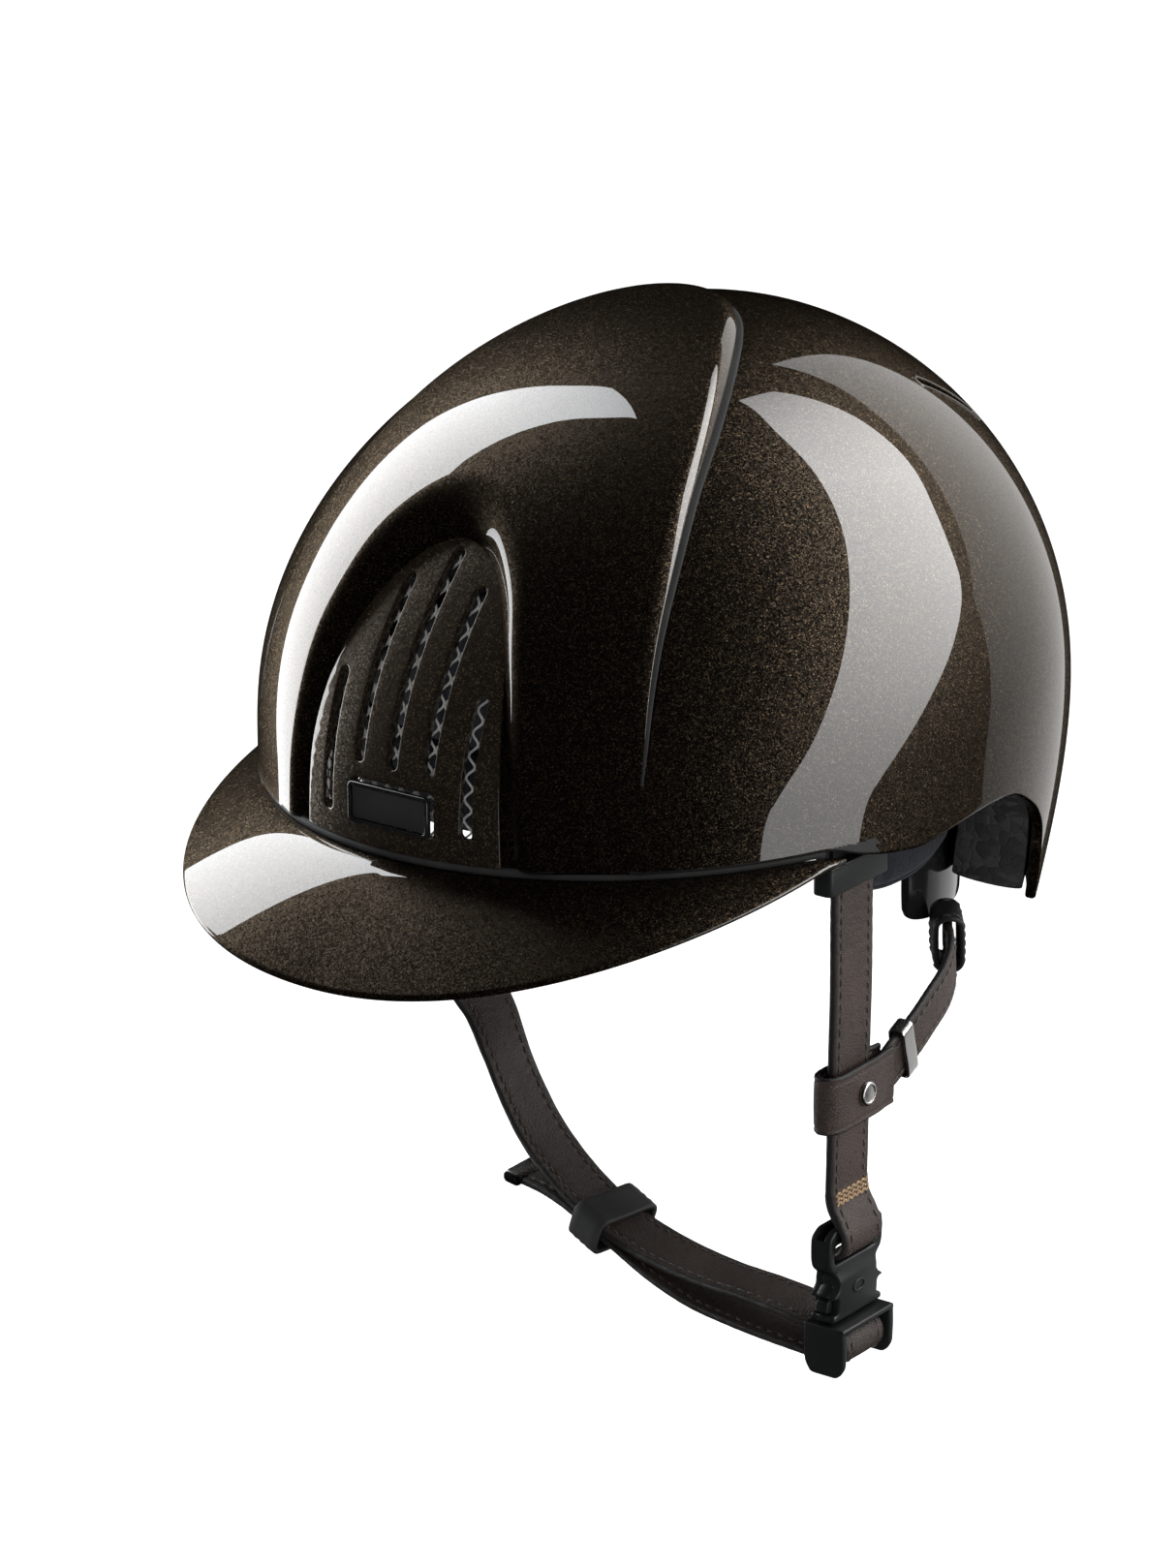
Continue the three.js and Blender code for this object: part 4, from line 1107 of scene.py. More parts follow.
def peak():
    n, m = 241, 34
    u = np.linspace(-1, 1, n)
    # samples evenly spaced along the outer edge
    uu = np.linspace(-1, 1, 6001)
    E = peak_edge(uu * math.radians(86))
    d = np.r_[0, np.cumsum(np.linalg.norm(np.diff(E, axis=0), axis=1))]
    u = np.interp(np.linspace(0, d[-1], n), d, uu)
    deg = 57 * np.sign(u) * np.abs(u) ** 1.35
    ph = np.radians(deg)
    s = (rim_z(deg) - 1.8 - EQ) / 105
    D, N = surf(to_q(ph, s))
    inner = D + N * (-2.6 + 2 * np.abs(u) ** 8)[:, None]
    inner[:, 2] = rim_z(deg) - 1.8
    e = peak_edge(u * math.radians(86))
    e[:, 2] = np.minimum(e[:, 2], inner[:, 2] - 0.3)
    inner, e = gauss(inner, 2.0), gauss(e, 2.0)
    edge_dir = unit(e - inner)
    thick = lambda w: (2.4 + (1.9 - 2.4) * w) * (1 - 0.4 * np.abs(u) ** 4)
    R = 0.85
    L = np.linalg.norm(e - inner, axis=1)
    def top(w):
        return np.stack([mix(inner[:, 0], e[:, 0], w), mix(inner[:, 1], e[:, 1], w), mix(inner[:, 2], e[:, 2], w ** 1.2)], 1)
    def under(w):
        P = top(w)
        th = thick(w.mean() if hasattr(w, "mean") else w)
        return np.stack([P[:, 0] * (1 - 0.004 * w), P[:, 1] + 0.5 * w, P[:, 2] - th], 1)
    rows, kinds = [], []
    for k in range(m):
        w = np.clip((k / (m - 1)) * (1 - R / L), 0, 1)
        rows.append(top(w)); kinds.append(0)
    P1, n1 = top(1 - R / L), None
    lo = under(np.ones(n))
    hi = top(np.ones(n))
    mid = (hi + lo) / 2
    half = np.linalg.norm(hi - lo, axis=1) / 2
    for a in np.linspace(12, 168, 12):
        a = math.radians(a)
        c0 = mix(top(1 - R / L), under(1 - R / L), 0.5)
        up = (top(1 - R / L) - under(1 - R / L)) / 2
        rows.append(c0 + up * math.cos(a) + edge_dir * (R * 1.0) * math.sin(a)); kinds.append(0)
    for k in range(10):
        w = np.clip((1 - k / 9) * (1 - R / L), 0, 1)
        rows.append(under(w)); kinds.append(2)
    V = np.stack(rows, 1)
    F = grid_faces(n, len(rows), wv=True)
    M = [1 if kinds[f[0] % len(rows)] == 2 else 0 for f in F]
    cap = tuple(range(len(rows)))
    F += [cap, tuple(i + (n - 1) * len(rows) for i in cap[::-1])]
    M += [1, 1]
    return V, F, M


V, F, M = peak()
n_ = V.shape[1]
tn = np.cross(V[121, 5] - V[120, 5], V[120, 6] - V[120, 5])
if tn[2] < 0:
    F = [f[::-1] for f in F]
# which way from_pydata faces: the first strip lies on top
f0 = F[120 * n_ + 4]
Vf = V.reshape(-1, 3)
fn = np.cross(Vf[f0[1]] - Vf[f0[0]], Vf[f0[2]] - Vf[f0[0]])
if fn[2] < 0:
    F = [f[::-1] for f in F]
peak_o = mesh_object("peak_shell", Vf, F, [paint, inside_black_and_shade], fmat=M)
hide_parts("visor")
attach(peak_o, "peak")

# seal between the peak and the brow
deg = np.linspace(-54, 54, 120)
rows = []
for a in np.linspace(0, 2 * PI, 12, endpoint=False):
    off = -2.2 + 1.1 * math.cos(a)
    z = rim_z(deg) - 0.7 + 1.3 * math.sin(a)
    D, N = surf(to_q(np.radians(deg), (z - EQ) / 105))
    rows.append(D + N * off)
V = np.stack(rows, 1)
F = grid_faces(120, 12, wv=True) + [tuple(range(12))[::-1], tuple(119 * 12 + i for i in range(12))]
o = mesh_object("peak_seal", V.reshape(-1, 3), F, [rubber])
weld(o)
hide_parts("visor_gasket")
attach(o, "helmet")


# ------------------------------------------------------------------ straps
def curve_frames(pts, side, steps, closed=False):
    C = catmull(np.asarray(pts, float), 40, closed)
    P = resample(C, steps + (0 if closed else 1), closed)
    if closed:
        T = unit(np.roll(P, -1, 0) - np.roll(P, 1, 0))
    else:
        T = unit(np.gradient(P, axis=0))
    f = np.linspace(0, 1, len(P))
    W = np.array([side(x) for x in f], float) if callable(side) else np.broadcast_to(np.asarray(side, float), P.shape)
    W = unit(W - T * (W * T).sum(1, keepdims=True))
    N = np.cross(T, W)
    d = np.r_[0, np.cumsum(np.linalg.norm(np.diff(P, axis=0), axis=1))]
    return P, T, W, N, d


def band_section(width, thick, stitch, crown=0.0, edge_r=None):
    """Across-strap section of a lined leather strap: rounded edges, a groove at each stitch row, a crowned middle."""
    hw, ht = width / 2, thick / 2
    r = min(edge_r if edge_r else ht * 0.9, ht)
    a = list(np.linspace(-hw + r, hw - r, 9))
    for s_ in (stitch if stitch else []):
        for k in (-0.9, -0.45, 0, 0.45, 0.9):
            a += [s_ + k, -s_ + k]
    a = np.unique(np.round(np.clip(a, -hw + r, hw - r), 3))
    def face(x):
        y = ht + crown * (1 - (x / hw) ** 2) - crown * 0.4
        for s_ in (stitch if stitch else []):
            y = y - 0.24 * np.exp(-((np.abs(x) - s_) / 0.42) ** 2)
        return y
    top = [(x, face(x)) for x in a]
    arc_r = [(hw - r + r * math.cos(t), (face(hw - r)) * math.sin(t)) for t in np.linspace(PI / 2, -PI / 2, 9)[1:-1]]
    bot = [(x, -face(x)) for x in a[::-1]]
    arc_l = [(-x, y) for x, y in arc_r[::-1]]
    sec = np.array(top + arc_r + bot + arc_l)
    kind = [0] * (len(top) - 1) + [1] * (len(arc_r) + 1) + [2] * (len(bot) - 1) + [1] * (len(arc_l) + 1)
    return sec, kind


def ripple(f, a, seed):
    """Fine cross creases, irregular along the strap."""
    r = 0
    for k, (w1, w2) in enumerate(((41, .5), (67, -.8), (97, 1.1), (139, -.4))):
        r = r + np.sin(w1 * f * 6.283 + w2 * a * 0.35 + seed * (k + 1.7)) * np.sin(7.3 * f * 6.283 + seed + k)
    return r / 4


def strap(name, pts, side, width, thick, mats, steps, stitch=None, pitch=3.5, crown=0.25, crease=None, closed=False, edge_r=None,
          split=None, seed=1.0, shape=None, bars=(), both=True, thread_mat=3, lo=0.0, hi=1.0):
    """mats: face, edge, back, thread, second thread. Returns one mesh, or two that share the ring at split."""
    P, T, W, N, d = curve_frames(pts, side, steps, closed)
    L = d[-1]
    sec, kind = band_section(width, thick, stitch, crown, edge_r)
    n, m = len(P), len(sec)
    f = d / L
    A = np.broadcast_to(sec[:, 0], (n, m)).copy()
    B_ = np.broadcast_to(sec[:, 1], (n, m)).copy()
    if shape is not None:
        sa, sb = shape(f)
        A *= np.asarray(sa)[:, None] if np.ndim(sa) else sa
        B_ *= np.asarray(sb)[:, None] if np.ndim(sb) else sb
    if crease is not None:
        amp = crease(f)[:, None]
        c = ripple(f[:, None], A, seed)
        B_ = B_ + amp * c * np.where(np.abs(A) < width / 2 - 0.6, 1.0, 0.35) * 1.0
        A = A * (1 + 0.06 * amp * np.sin(23 * f[:, None] * 6.28 + seed))
    # hand-made straps are never quite straight
    A = A + 0.10 * np.sin(f * 19 + seed)[:, None]
    V = P[:, None] + A[..., None] * W[:, None] + B_[..., None] * N[:, None]
    GN = grid_normals(V, wu=closed)
    c = V.mean(1, keepdims=True)
    if ((V - c) * GN).sum() < 0:
        GN, flip = -GN, True
    else:
        flip = False
    F = grid_faces(n, m, wu=closed, wv=True, flip=flip)
    M = [kind[q[0] % m] for q in F]
    # stitches
    S = Build()
    SI = []
    if stitch:
        at = lambda x: [np.array([np.interp(x, d, X[:, k]) for k in range(3)]) for X in (P, T, W, N)]
        thk = lambda x: (np.interp(x / L, f, np.asarray(shape(f)[1]) * np.ones(n)) if shape is not None else 1.0)
        wid = lambda x: (np.interp(x / L, f, np.asarray(shape(f)[0]) * np.ones(n)) if shape is not None else 1.0)
        for s_ in stitch:
            for sg in (-1, 1):
                for fs in ((1, -1) if both else (1,)):
                    x = 2.2 + 0.3 * sg + lo * L
                    while x < L * hi - 2.0:
                        p, t, w, nn = at(x)
                        t, w, nn = unit(t), unit(w), unit(nn)
                        h = (thick / 2 - 0.12) * thk(x)
                        c0 = p + w * (s_ * sg * wid(x) + 0.10 * math.sin(f[0] + x / L * 19 + seed)) + nn * fs * (h + crown * 0.25)
                        dirn = unit(t + w * 0.16 * sg * fs)
                        k = np.array([-1.15, -0.85, 0, 0.85, 1.15])
                        rr = np.array([0.10, 0.30, 0.36, 0.30, 0.10])
                        sink = np.array([-0.16, 0.0, 0.07, 0.0, -0.16])
                        line = c0 + k[:, None] * dirn + sink[:, None] * nn * fs
                        a0 = S.n
                        tube(S, line, rr, 6, m=thread_mat, up=np.broadcast_to(nn, line.shape))
                        SI.append((x / L, a0, S.n))
                        x += pitch
        for bx, b_half, rows_, gm in bars:
            for rw in range(rows_):
                x = bx * L + rw * 1.5
                p, t, w, nn = at(x)
                t, w, nn = unit(t), unit(w), unit(nn)
                nseg = int(b_half * 2 / 1.1)
                for i in range(nseg):
                    u0 = -b_half + 2 * b_half * i / nseg
                    u1 = u0 + 2 * b_half / nseg
                    zig = 0.55 if i % 2 else -0.55
                    q0 = p + w * u0 + t * -zig + nn * ((thick / 2 + 0.05) * thk(x) + crown * 0.4)
                    q1 = p + w * u1 + t * zig + nn * ((thick / 2 + 0.05) * thk(x) + crown * 0.4)
                    k = np.linspace(0, 1, 4)[:, None]
                    line = q0 * (1 - k) + q1 * k + nn * (0.12 * np.sin(PI * k))
                    a0 = S.n
                    tube(S, line, np.array([0.22, 0.40, 0.40, 0.22]), 6, m=gm, up=np.broadcast_to(nn, line.shape))
                    SI.append((x / L, a0, S.n))
    SV = np.concatenate(S.V) if S.V else np.zeros((0, 3))
    out = []
    parts = [(0, n - 1, "")] if split is None else [(0, int(split * (n - 1)), "_a"), (int(split * (n - 1)), n - 1, "_b")]
    for i0, i1, tag in parts:
        Bd = Build()
        rows_ = V[i0:i1 + 1]
        nr = len(rows_)
        if closed:
            Bd.add(V, F, M)
        else:
            FF = grid_faces(nr, m, wv=True, flip=flip)
            MM_ = [kind[q[0] % m] for q in FF]
            cap = tuple(range(m))
            FF += [cap if flip else cap[::-1], tuple(i + (nr - 1) * m for i in (cap[::-1] if flip else cap))]
            MM_ += [1, 1]
            Bd.add(rows_, FF, MM_)
        norms = [GN[i0:i1 + 1].reshape(-1, 3) if not closed else GN.reshape(-1, 3)]
        fl, fh = (0, 1.01) if closed else (f[i0], f[i1] + (0.01 if i1 == n - 1 else 0))
        sf = [(a, b) for x, a, b in SI if fl <= x < fh]
        if sf:
            remap, keepV = {}, []
            for a, b in sf:
                for i in range(a, b):
                    remap[i] = len(keepV)
                    keepV.append(i)
            FS = [tuple(remap[i] for i in q) for q in S.F if q[0] in remap]
            MS = [mm for q, mm in zip(S.F, S.M) if q[0] in remap]
            Vk = SV[keepV]
            Bd.add(Vk, FS, MS)
        o = Bd.make(name + tag, mats, sharp=70)
        out.append(o)
    return out if split is not None else out[0]


STRAPM = [leather, edge_paint, leather, thread, gold_thread]
CHINM = [leather_dark, edge_paint, leather_dark, thread, gold_thread]
REARM = [leather, edge_paint, black_leather, thread, gold_thread]
LEFT = [[90, -52.5, -9.7], [90, -52.3, -30], [90, -52.8, -60], [89.6, -52.8, -90], [89.8, -52.5, -103], [92.2, -52.5, -107.5], [94.2, -52.5, -111.2], [94.0, -52.5, -114.6], [92.0, -52.5, -117.0], [89.6, -52.5, -117.4]]
RIGHT = [[-90, -52.5, -9.7], [-89.9, -52.4, -15], [-85.5, -50.6, -25], [-74.5, -45.7, -43], [-62, -40.2, -61.5], [-51.2, -35.4, -77.2]]
r_side = lambda f: [0.15 * float(smooth01(0.2, 1, f)), 1, 0.1 * f]

fold = lambda f: (1 + 0 * f - 0.01 * smooth01(0.80, 0.84, f), 0.80 + 0.20 * smooth01(0.795, 0.805, f) - 0.22 * smooth01(0.87, 0.91, f))
o = strap("left_front_strap_leather", LEFT, (0, 1, 0), 18.3, 3.0, STRAPM, 170, stitch=[6.4], pitch=3.5, crown=0.22,
          crease=lambda f: 0.16 * smooth01(0.35, 0.0, f) + 0.03, shape=fold, seed=2.1, bars=[(0.805, 7.4, 3, 4)])
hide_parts("left_front_strap")
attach(o, "harness")
o = strap("right_front_strap_leather", RIGHT, r_side, 18.3, 2.0, STRAPM, 130, stitch=[6.4], pitch=3.5, crown=0.2,
          crease=lambda f: 0.10 * smooth01(0.4, 0.0, f) + 0.03, seed=4.7)
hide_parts("right_front_strap")
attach(o, "harness")


def along(pts, f):
    P, T, W, N, d = curve_frames(pts, (0, 0, 1), 400)
    return P[int(f * 400)], T[int(f * 400)]


def basis(z, side, out):
    z = unit(z)
    side = np.asarray(side, float)
    x = unit(side - z * (side @ z))
    y = np.cross(z, x)
    return x, y, z, (-1 if y @ np.asarray(out, float) < 0 else 1)


def lathe(B, profile, origin, axis, n=40, m=0):
    """profile: (radius, height) from the foot to the top."""
    axis = unit(axis)
    a = np.array([0, 0, 1.0]) if abs(axis[2]) < 0.9 else np.array([1.0, 0, 0])
    u = unit(a - axis * (a @ axis))
    w = np.cross(axis, u)
    ang = np.linspace(0, 2 * PI, n, endpoint=False)
    pr = np.array(profile, float)
    V = np.asarray(origin) + pr[None, :, :1] * (np.cos(ang)[:, None, None] * u + np.sin(ang)[:, None, None] * w) + pr[None, :, 1:2] * axis
    F = grid_faces(n, len(pr), wu=True)
    k = len(pr)
    F += [tuple(i * k + k - 1 for i in range(n)), tuple(i * k for i in range(n))[::-1]]
    B.add(V, F, m)


RIVET = [(3.4, -0.25), (3.4, 0.25), (3.28, 0.55), (2.95, 0.80), (2.6, 0.88), (2.42, 0.80), (2.30, 0.62), (1.4, 0.68), (0.6, 0.74), (0.05, 0.75)]
LOOP_PATH = [(17.2, 2.2), (13.5, 2.3), (9.6, 2.9), (4, 3.35), (-2, 3.45), (-8.5, 3.4), (-11.9, 2.7), (-13.5, 1.3), (-13.8, 0), (-13.5, -1.3), (-11.9, -2.7), (-8.5, -3.4), (-2, -3.45), (4, -3.35), (9.6, -2.9), (13.5, -2.3), (17.2, -2.1)]
rc, rt = along(RIGHT, 0.80)
for name, c, down, sd, out, body, nose in (
        ("left", np.array([89.9, -52.3, -72.5]), np.array([0, 0, -1.0]), (0, 1, 0), (1, 0, 0), "left_junction", "left"),
        ("right", rc, rt, r_side(0.80), (-1, 0, -0.6), "right_junction", "right")):
    x, y, z, flip = basis(-down, sd, out)
    path = np.array([c + x * a * 0.97 + y * b * flip for a, b in LOOP_PATH])
    if name == "right":
        path = np.array([c + x * a * 0.97 + y * b * 0.88 * flip for a, b in LOOP_PATH])
    o = strap(name + "_junction_leather", path, z, 16.4, 1.55, [leather, edge_paint, leather, thread, gold_thread], 120, stitch=[6.5], pitch=3.3, crown=0.1,
              crease=lambda f: 0.10 * np.exp(-((f - 0.5) / 0.18) ** 2) + 0.02, seed=3.3 if name == "left" else 6.1, both=False, bars=[(0.13, 6.6, 1, 4)])
    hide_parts(name + "_y_loop")
    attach(o, body)
    B = Build()
    lathe(B, RIVET, c + x * 1.5 + y * flip * 4.75, y * flip, 48)
    o = B.make(name + "_junction_rivet", [metal], sharp=50)
    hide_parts(name + "_loop_rivet")
    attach(o, body)

# rear straps
L_REAR = [[90.2, -38.3, -72.9], [90.2, -32.6, -70.4], [90, -25, -67.3], [89.2, -14, -62.6], [87.4, -3, -58.2], [84.2, 5, -54.8], [79.6, 10.6, -51.8], [76.4, 14.2, -50.2]]
R_REAR = [[-58.6, -23.2, -61.9], [-61, -17.6, -60.6], [-64.2, -9, -58.6], [-69, 0, -56], [-74, 7.5, -53], [-77, 13.8, -50.4]]
l_side = lambda f: [0.12, -0.42 + 0.2 * f, 0.9]
rr_side = lambda f: [-0.3 * (1 - f) - 0.05, -0.3, 0.9]
for name, pts, sd, junction, c0 in (("left", L_REAR, l_side, "left_junction", [90.0, -36.3, -72.2]), ("right", R_REAR, rr_side, "right_junction", [-58.9, -22.5, -61.8])):
    lo_, up_ = strap(name + "_rear_strap_leather", pts, sd, 15.0, 2.2, REARM, 130, stitch=[4.9], pitch=3.3, crown=0.16,
                     crease=lambda f: 0.05 + 0.12 * np.exp(-((f - 0.8) / 0.12) ** 2), seed=5.2 if name == "left" else 8.4, split=0.5,
                     shape=lambda f: (1 - 0.06 * smooth01(0.12, 0.0, f), 1 + 0 * f))
    P, T, W, N, d = curve_frames(pts, sd, 200)
    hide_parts(name + "_rear_strap")
    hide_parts(name + "_rear_strap")
    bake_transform(lo_)
    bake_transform(up_)
    # black leather loop on the yoke that the strap's end is sewn into
    k = int(0.95 * 200)
    z = unit(T[k]); w = unit(W[k] - z * (W[k] @ z)); y = np.cross(z, w)
    ring = [P[k] + z * 1.4 + w * a + y * b for a, b in rounded_rect(18.4, 7.0, 3.2, 4)]
    o = strap(name + "_nape_loop_leather", ring, tuple(z), 9.6, 1.6, [black_leather, edge_paint, black_leather, black_thread, black_thread], 90, stitch=[3.4], pitch=3.0, crown=0.15,
              crease=lambda f: 0.06 + 0 * f, closed=True, both=False, seed=1.4)
    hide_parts(name + "_nape_loop")
    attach(o, "helmet")
    # folded metal tag
    pts_cad = pts[1:]
    P2, T2, W2, N2, d2 = curve_frames(pts_cad, sd, 200)
    k = int((0.11 if name == "left" else 0.14) * 200)
    z = unit(T2[k]); w = unit(W2[k] - z * (W2[k] @ z)); y = np.cross(z, w)
    ring = [P2[k] + w * a + y * b for a, b in rounded_rect(16.3, 4.15, 1.0, 4)]
    o = strap(name + "_metal_tag", ring, tuple(z), 5.3, 0.8, [metal, metal, metal, metal], 80, crown=0.0, closed=True, edge_r=0.3, seed=0.0)
    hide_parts(name + "_strap_tag")
    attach(o, "harness" if False else junction)

# chin strap with its tail
CHIN = [[-52.8, -36.1, -74.9], [-50.5, -35.1, -78.2], [-46, -33.9, -85.2], [-39.6, -35.5, -95.1], [-33.2, -37, -104.9], [-24.5, -39.5, -114.3], [-14, -42.3, -121.6], [-1, -45, -128.2], [12, -47, -133], [28, -49, -136.2], [46, -50.6, -137.6], [62, -51.6, -137.6], [74, -52.2, -138.2], [83, -52.4, -139.4], [90.5, -52.5, -139.6],
        [94, -52.5, -140.8], [95.1, -52.5, -143.8], [94, -52.5, -146.8], [90.5, -52.5, -148], [82, -52.5, -147.6]]
TAIL = [[81.3, -52.5, -147.6], [70, -52.4, -147], [56, -52, -145.9], [42, -51, -144.4], [28, -49.4, -141], [14, -47.2, -136.4], [4, -45.6, -132.9], [-5, -44.2, -129.5], [-14, -43.4, -127.2], [-21, -43.2, -126.2]]
o = strap("chin_strap_leather", CHIN, lambda f: [0.15 * (1 - float(smooth01(0.02, 0.16, f))), 1, 0.1 - 0.05 * float(smooth01(0.02, 0.16, f)) - 0.05 * float(smooth01(.5, .72, f))], 18.3, 2.0, CHINM, 300, stitch=[6.4], pitch=3.5, crown=0.2,
          shape=lambda f: (1.012 - 0.012 * smooth01(0.02, 0.06, f), 1.08 - 0.08 * smooth01(0.02, 0.06, f)),
          crease=lambda f: 0.05 + 0.08 * np.exp(-((f - 0.86) / 0.05) ** 2), seed=2.9)
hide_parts("chin_strap")
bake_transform(o)
o = strap("strap_tail_leather", TAIL, lambda f: [0, 1, 0.05 * float(smooth01(.1, .4, f))], 17.7, 2.0, CHINM, 160, stitch=[6.2], pitch=3.5, crown=0.2,
          crease=lambda f: 0.05 + 0 * f, seed=7.7)
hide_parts("strap_tail")
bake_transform(o)

# folded metal end of the tail
z = unit([-7, 0.2, 1]); w = np.array([0, 1, 0.05]); w = unit(w - z * (w @ z)); y = np.cross(w, z)
B = plate(rounded_rect(5.9, 3.7, 1.5, 6), [], -9.25, 9.25, 0.5, frame_at([-24.4, -43.1, -125.7], z, y, w), steps=4)
o = weld(B.make("tail_end_cap", [metal], sharp=50))
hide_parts("strap_tip")
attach(o, "harness")

# ribbed rubber keeper
x = unit([13.2, -2.1, -5.0]); w = np.array([0, 1, 0.05]); ac = unit(w - x * (w @ x)); th = np.cross(x, ac)
ringp = rounded_rect(21.6, 10.3, 2.6, 6)
ringp = resample(ringp, 200, True)
ring = np.array([np.array([6.4, -46.2, -132.5]) + ac * a + th * b for a, b in ringp])
o = strap("keeper_rubber_band", ring, tuple(x), 11.0, 1.55, [rubber, rubber, rubber], 240, crown=0.0, closed=True, edge_r=0.5, seed=0.0)
me = o.data
co = np.zeros(len(me.vertices) * 3, np.float32)
me.vertices.foreach_get("co", co)
co = co.reshape(-1, 3) / MM
d = co - np.array([6.4, -46.2, -132.5])
u, v, a_ = d @ ac, d @ th, d @ x
rib = 0.34 * (0.5 + 0.5 * np.cos(2 * PI * a_ / 2.2)) * smooth01(8.6, 9.8, np.abs(u)) * smooth01(5.3, 4.6, np.abs(a_))
out_ = (np.abs(u) > 10.6)
co = co + (np.sign(u) * rib * np.where(out_, 1, 0))[:, None] * ac
me.vertices.foreach_set("co", (co * MM).astype(np.float32).reshape(-1))
me.update()
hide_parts("keeper")
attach(o, "strap_keeper")


# ------------------------------------------------------------------ buckle
def in_yz(x0, y0):
    """Plan (y, z) plate, thickness along x."""
    return lambda uv, h: np.stack([x0 + np.asarray(h), y0 + uv[:, 0], uv[:, 1]], 1)


def mirror_rows(rows):
    rows = [tuple(r) for r in rows]
    return np.array(rows + [(-a, b) for a, b in rows[::-1]], float)


def rounded_poly(P, r=0.6, n=4):
    """Cuts each corner of a polygon into a short arc."""
    P = np.asarray(P, float)
    out = []
    for i in range(len(P)):
        a, b, c = P[i - 1], P[i], P[(i + 1) % len(P)]
        u, v = a - b, c - b
        lu, lv = np.linalg.norm(u), np.linalg.norm(v)
        k = min(r, lu * 0.45, lv * 0.45)
        p, q = b + u / lu * k, b + v / lv * k
        for t in np.linspace(0, 1, n + 1):
            out.append((1 - t) ** 2 * p + 2 * t * (1 - t) * b + t * t * q)
    return np.array(out)


X0, Y0 = 89.5, -52.5
half = [(9.5, -108.9), (12.6, -111.0), (12.8, -113.5), (12.8, -117.4), (12.2, -120.0), (9.2, -122.6), (8.8, -125.6), (10.6, -127.4), (11.5, -127.9), (11.5, -128.6), (9.3, -128.8), (9.3, -133.4), (11.5, -133.6), (11.5, -135.6)]
outline = rounded_poly(mirror_rows(half), 1.1, 4)
slot_ = rounded_rect(20, 5.4, 1.4, 5, 0, -116.3)
gap_ = rounded_rect(8.2, 3.2, 1.4, 5, 0, -131.2)


def at_socket(uv, h):
    k = 1 + 0.30 * smooth01(-121.0, -124.5, uv[:, 1]) - 0.10 * smooth01(-128, -136, uv[:, 1])
    return np.stack([X0 + np.asarray(h) * k, Y0 + uv[:, 0], uv[:, 1]], 1)


B = plate(outline, [slot_], 1.3, 3.2, 0.75, at_socket, steps=4, rb=0.15)
plate(outline, [slot_], -3.2, -1.3, 0.15, at_socket, steps=4, rb=0.75, build=B)
# the two faces are joined by the ring's edge and the body's end walls
ringo = rounded_poly(mirror_rows([(9.5, -108.9), (12.6, -111.0), (12.8, -113.5), (12.8, -117.4), (12.2, -120.0), (9.2, -122.6)]), 1.1, 4)
for sgn_ in (1, -1):
    side_ = rounded_poly([(sgn_ * 12.75, -111.4), (sgn_ * 12.75, -119.6), (sgn_ * 9.2, -122.5), (sgn_ * 8.8, -125.6), (sgn_ * 11.4, -127.8), (sgn_ * 11.4, -128.5), (sgn_ * 7.4, -128.5), (sgn_ * 7.0, -121.0), (sgn_ * 10.3, -119.2), (sgn_ * 10.3, -112.4)], 0.3, 2)
    plate(side_, [], -1.5, 1.5, 0.05, at_socket, steps=1, build=B)
    foot_ = rounded_poly([(sgn_ * 11.4, -133.7), (sgn_ * 11.4, -135.5), (sgn_ * 9.5, -135.5), (sgn_ * 9.5, -133.7)], 0.3, 2)
    plate(foot_, [], -1.5, 1.5, 0.05, at_socket, steps=1, build=B)
bridge = rounded_rect(16, 2.0, 0.6, 3, 0, -121.5)
plate(bridge, [], -1.5, 1.5, 0.05, at_socket, steps=1, build=B)
# raised oval thumb mark on each face
for sx_ in (1, -1):
    ov = np.array([(2.9 * math.cos(t), -127.6 + 1.9 * math.sin(t)) for t in np.linspace(0, 2 * PI, 40, endpoint=False)])
    ov2 = np.array([(2.1 * math.cos(t), -127.6 + 1.1 * math.sin(t)) for t in np.linspace(0, 2 * PI, 40, endpoint=False)])
    plate(ov, [ov2], 3.9, 4.45, 0.22, lambda uv, h, s=sx_: np.stack([X0 + s * np.asarray(h), Y0 + uv[:, 0] * s, uv[:, 1]], 1), steps=3, rb=0.05, build=B)
o = weld(B.make("buckle_socket_shell", [hardware], sharp=42), 1e-7)
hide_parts("buckle_socket")
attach(o, "harness")


def rbox(B, lo, hi, r, m=0, steps=3):
    """A box with every edge rounded."""
    lo, hi = np.array(lo, float), np.array(hi, float)
    c, s = (lo + hi) / 2, hi - lo
    r = min(r, s.min() * 0.45)
    plate(rounded_rect(s[0], s[1], r, 4), [], lo[2], hi[2], r, lambda uv, h: np.stack([c[0] + uv[:, 0], c[1] + uv[:, 1], np.asarray(h)], 1), steps=steps, m_top=m, m_side=m, m_bottom=m, build=B)


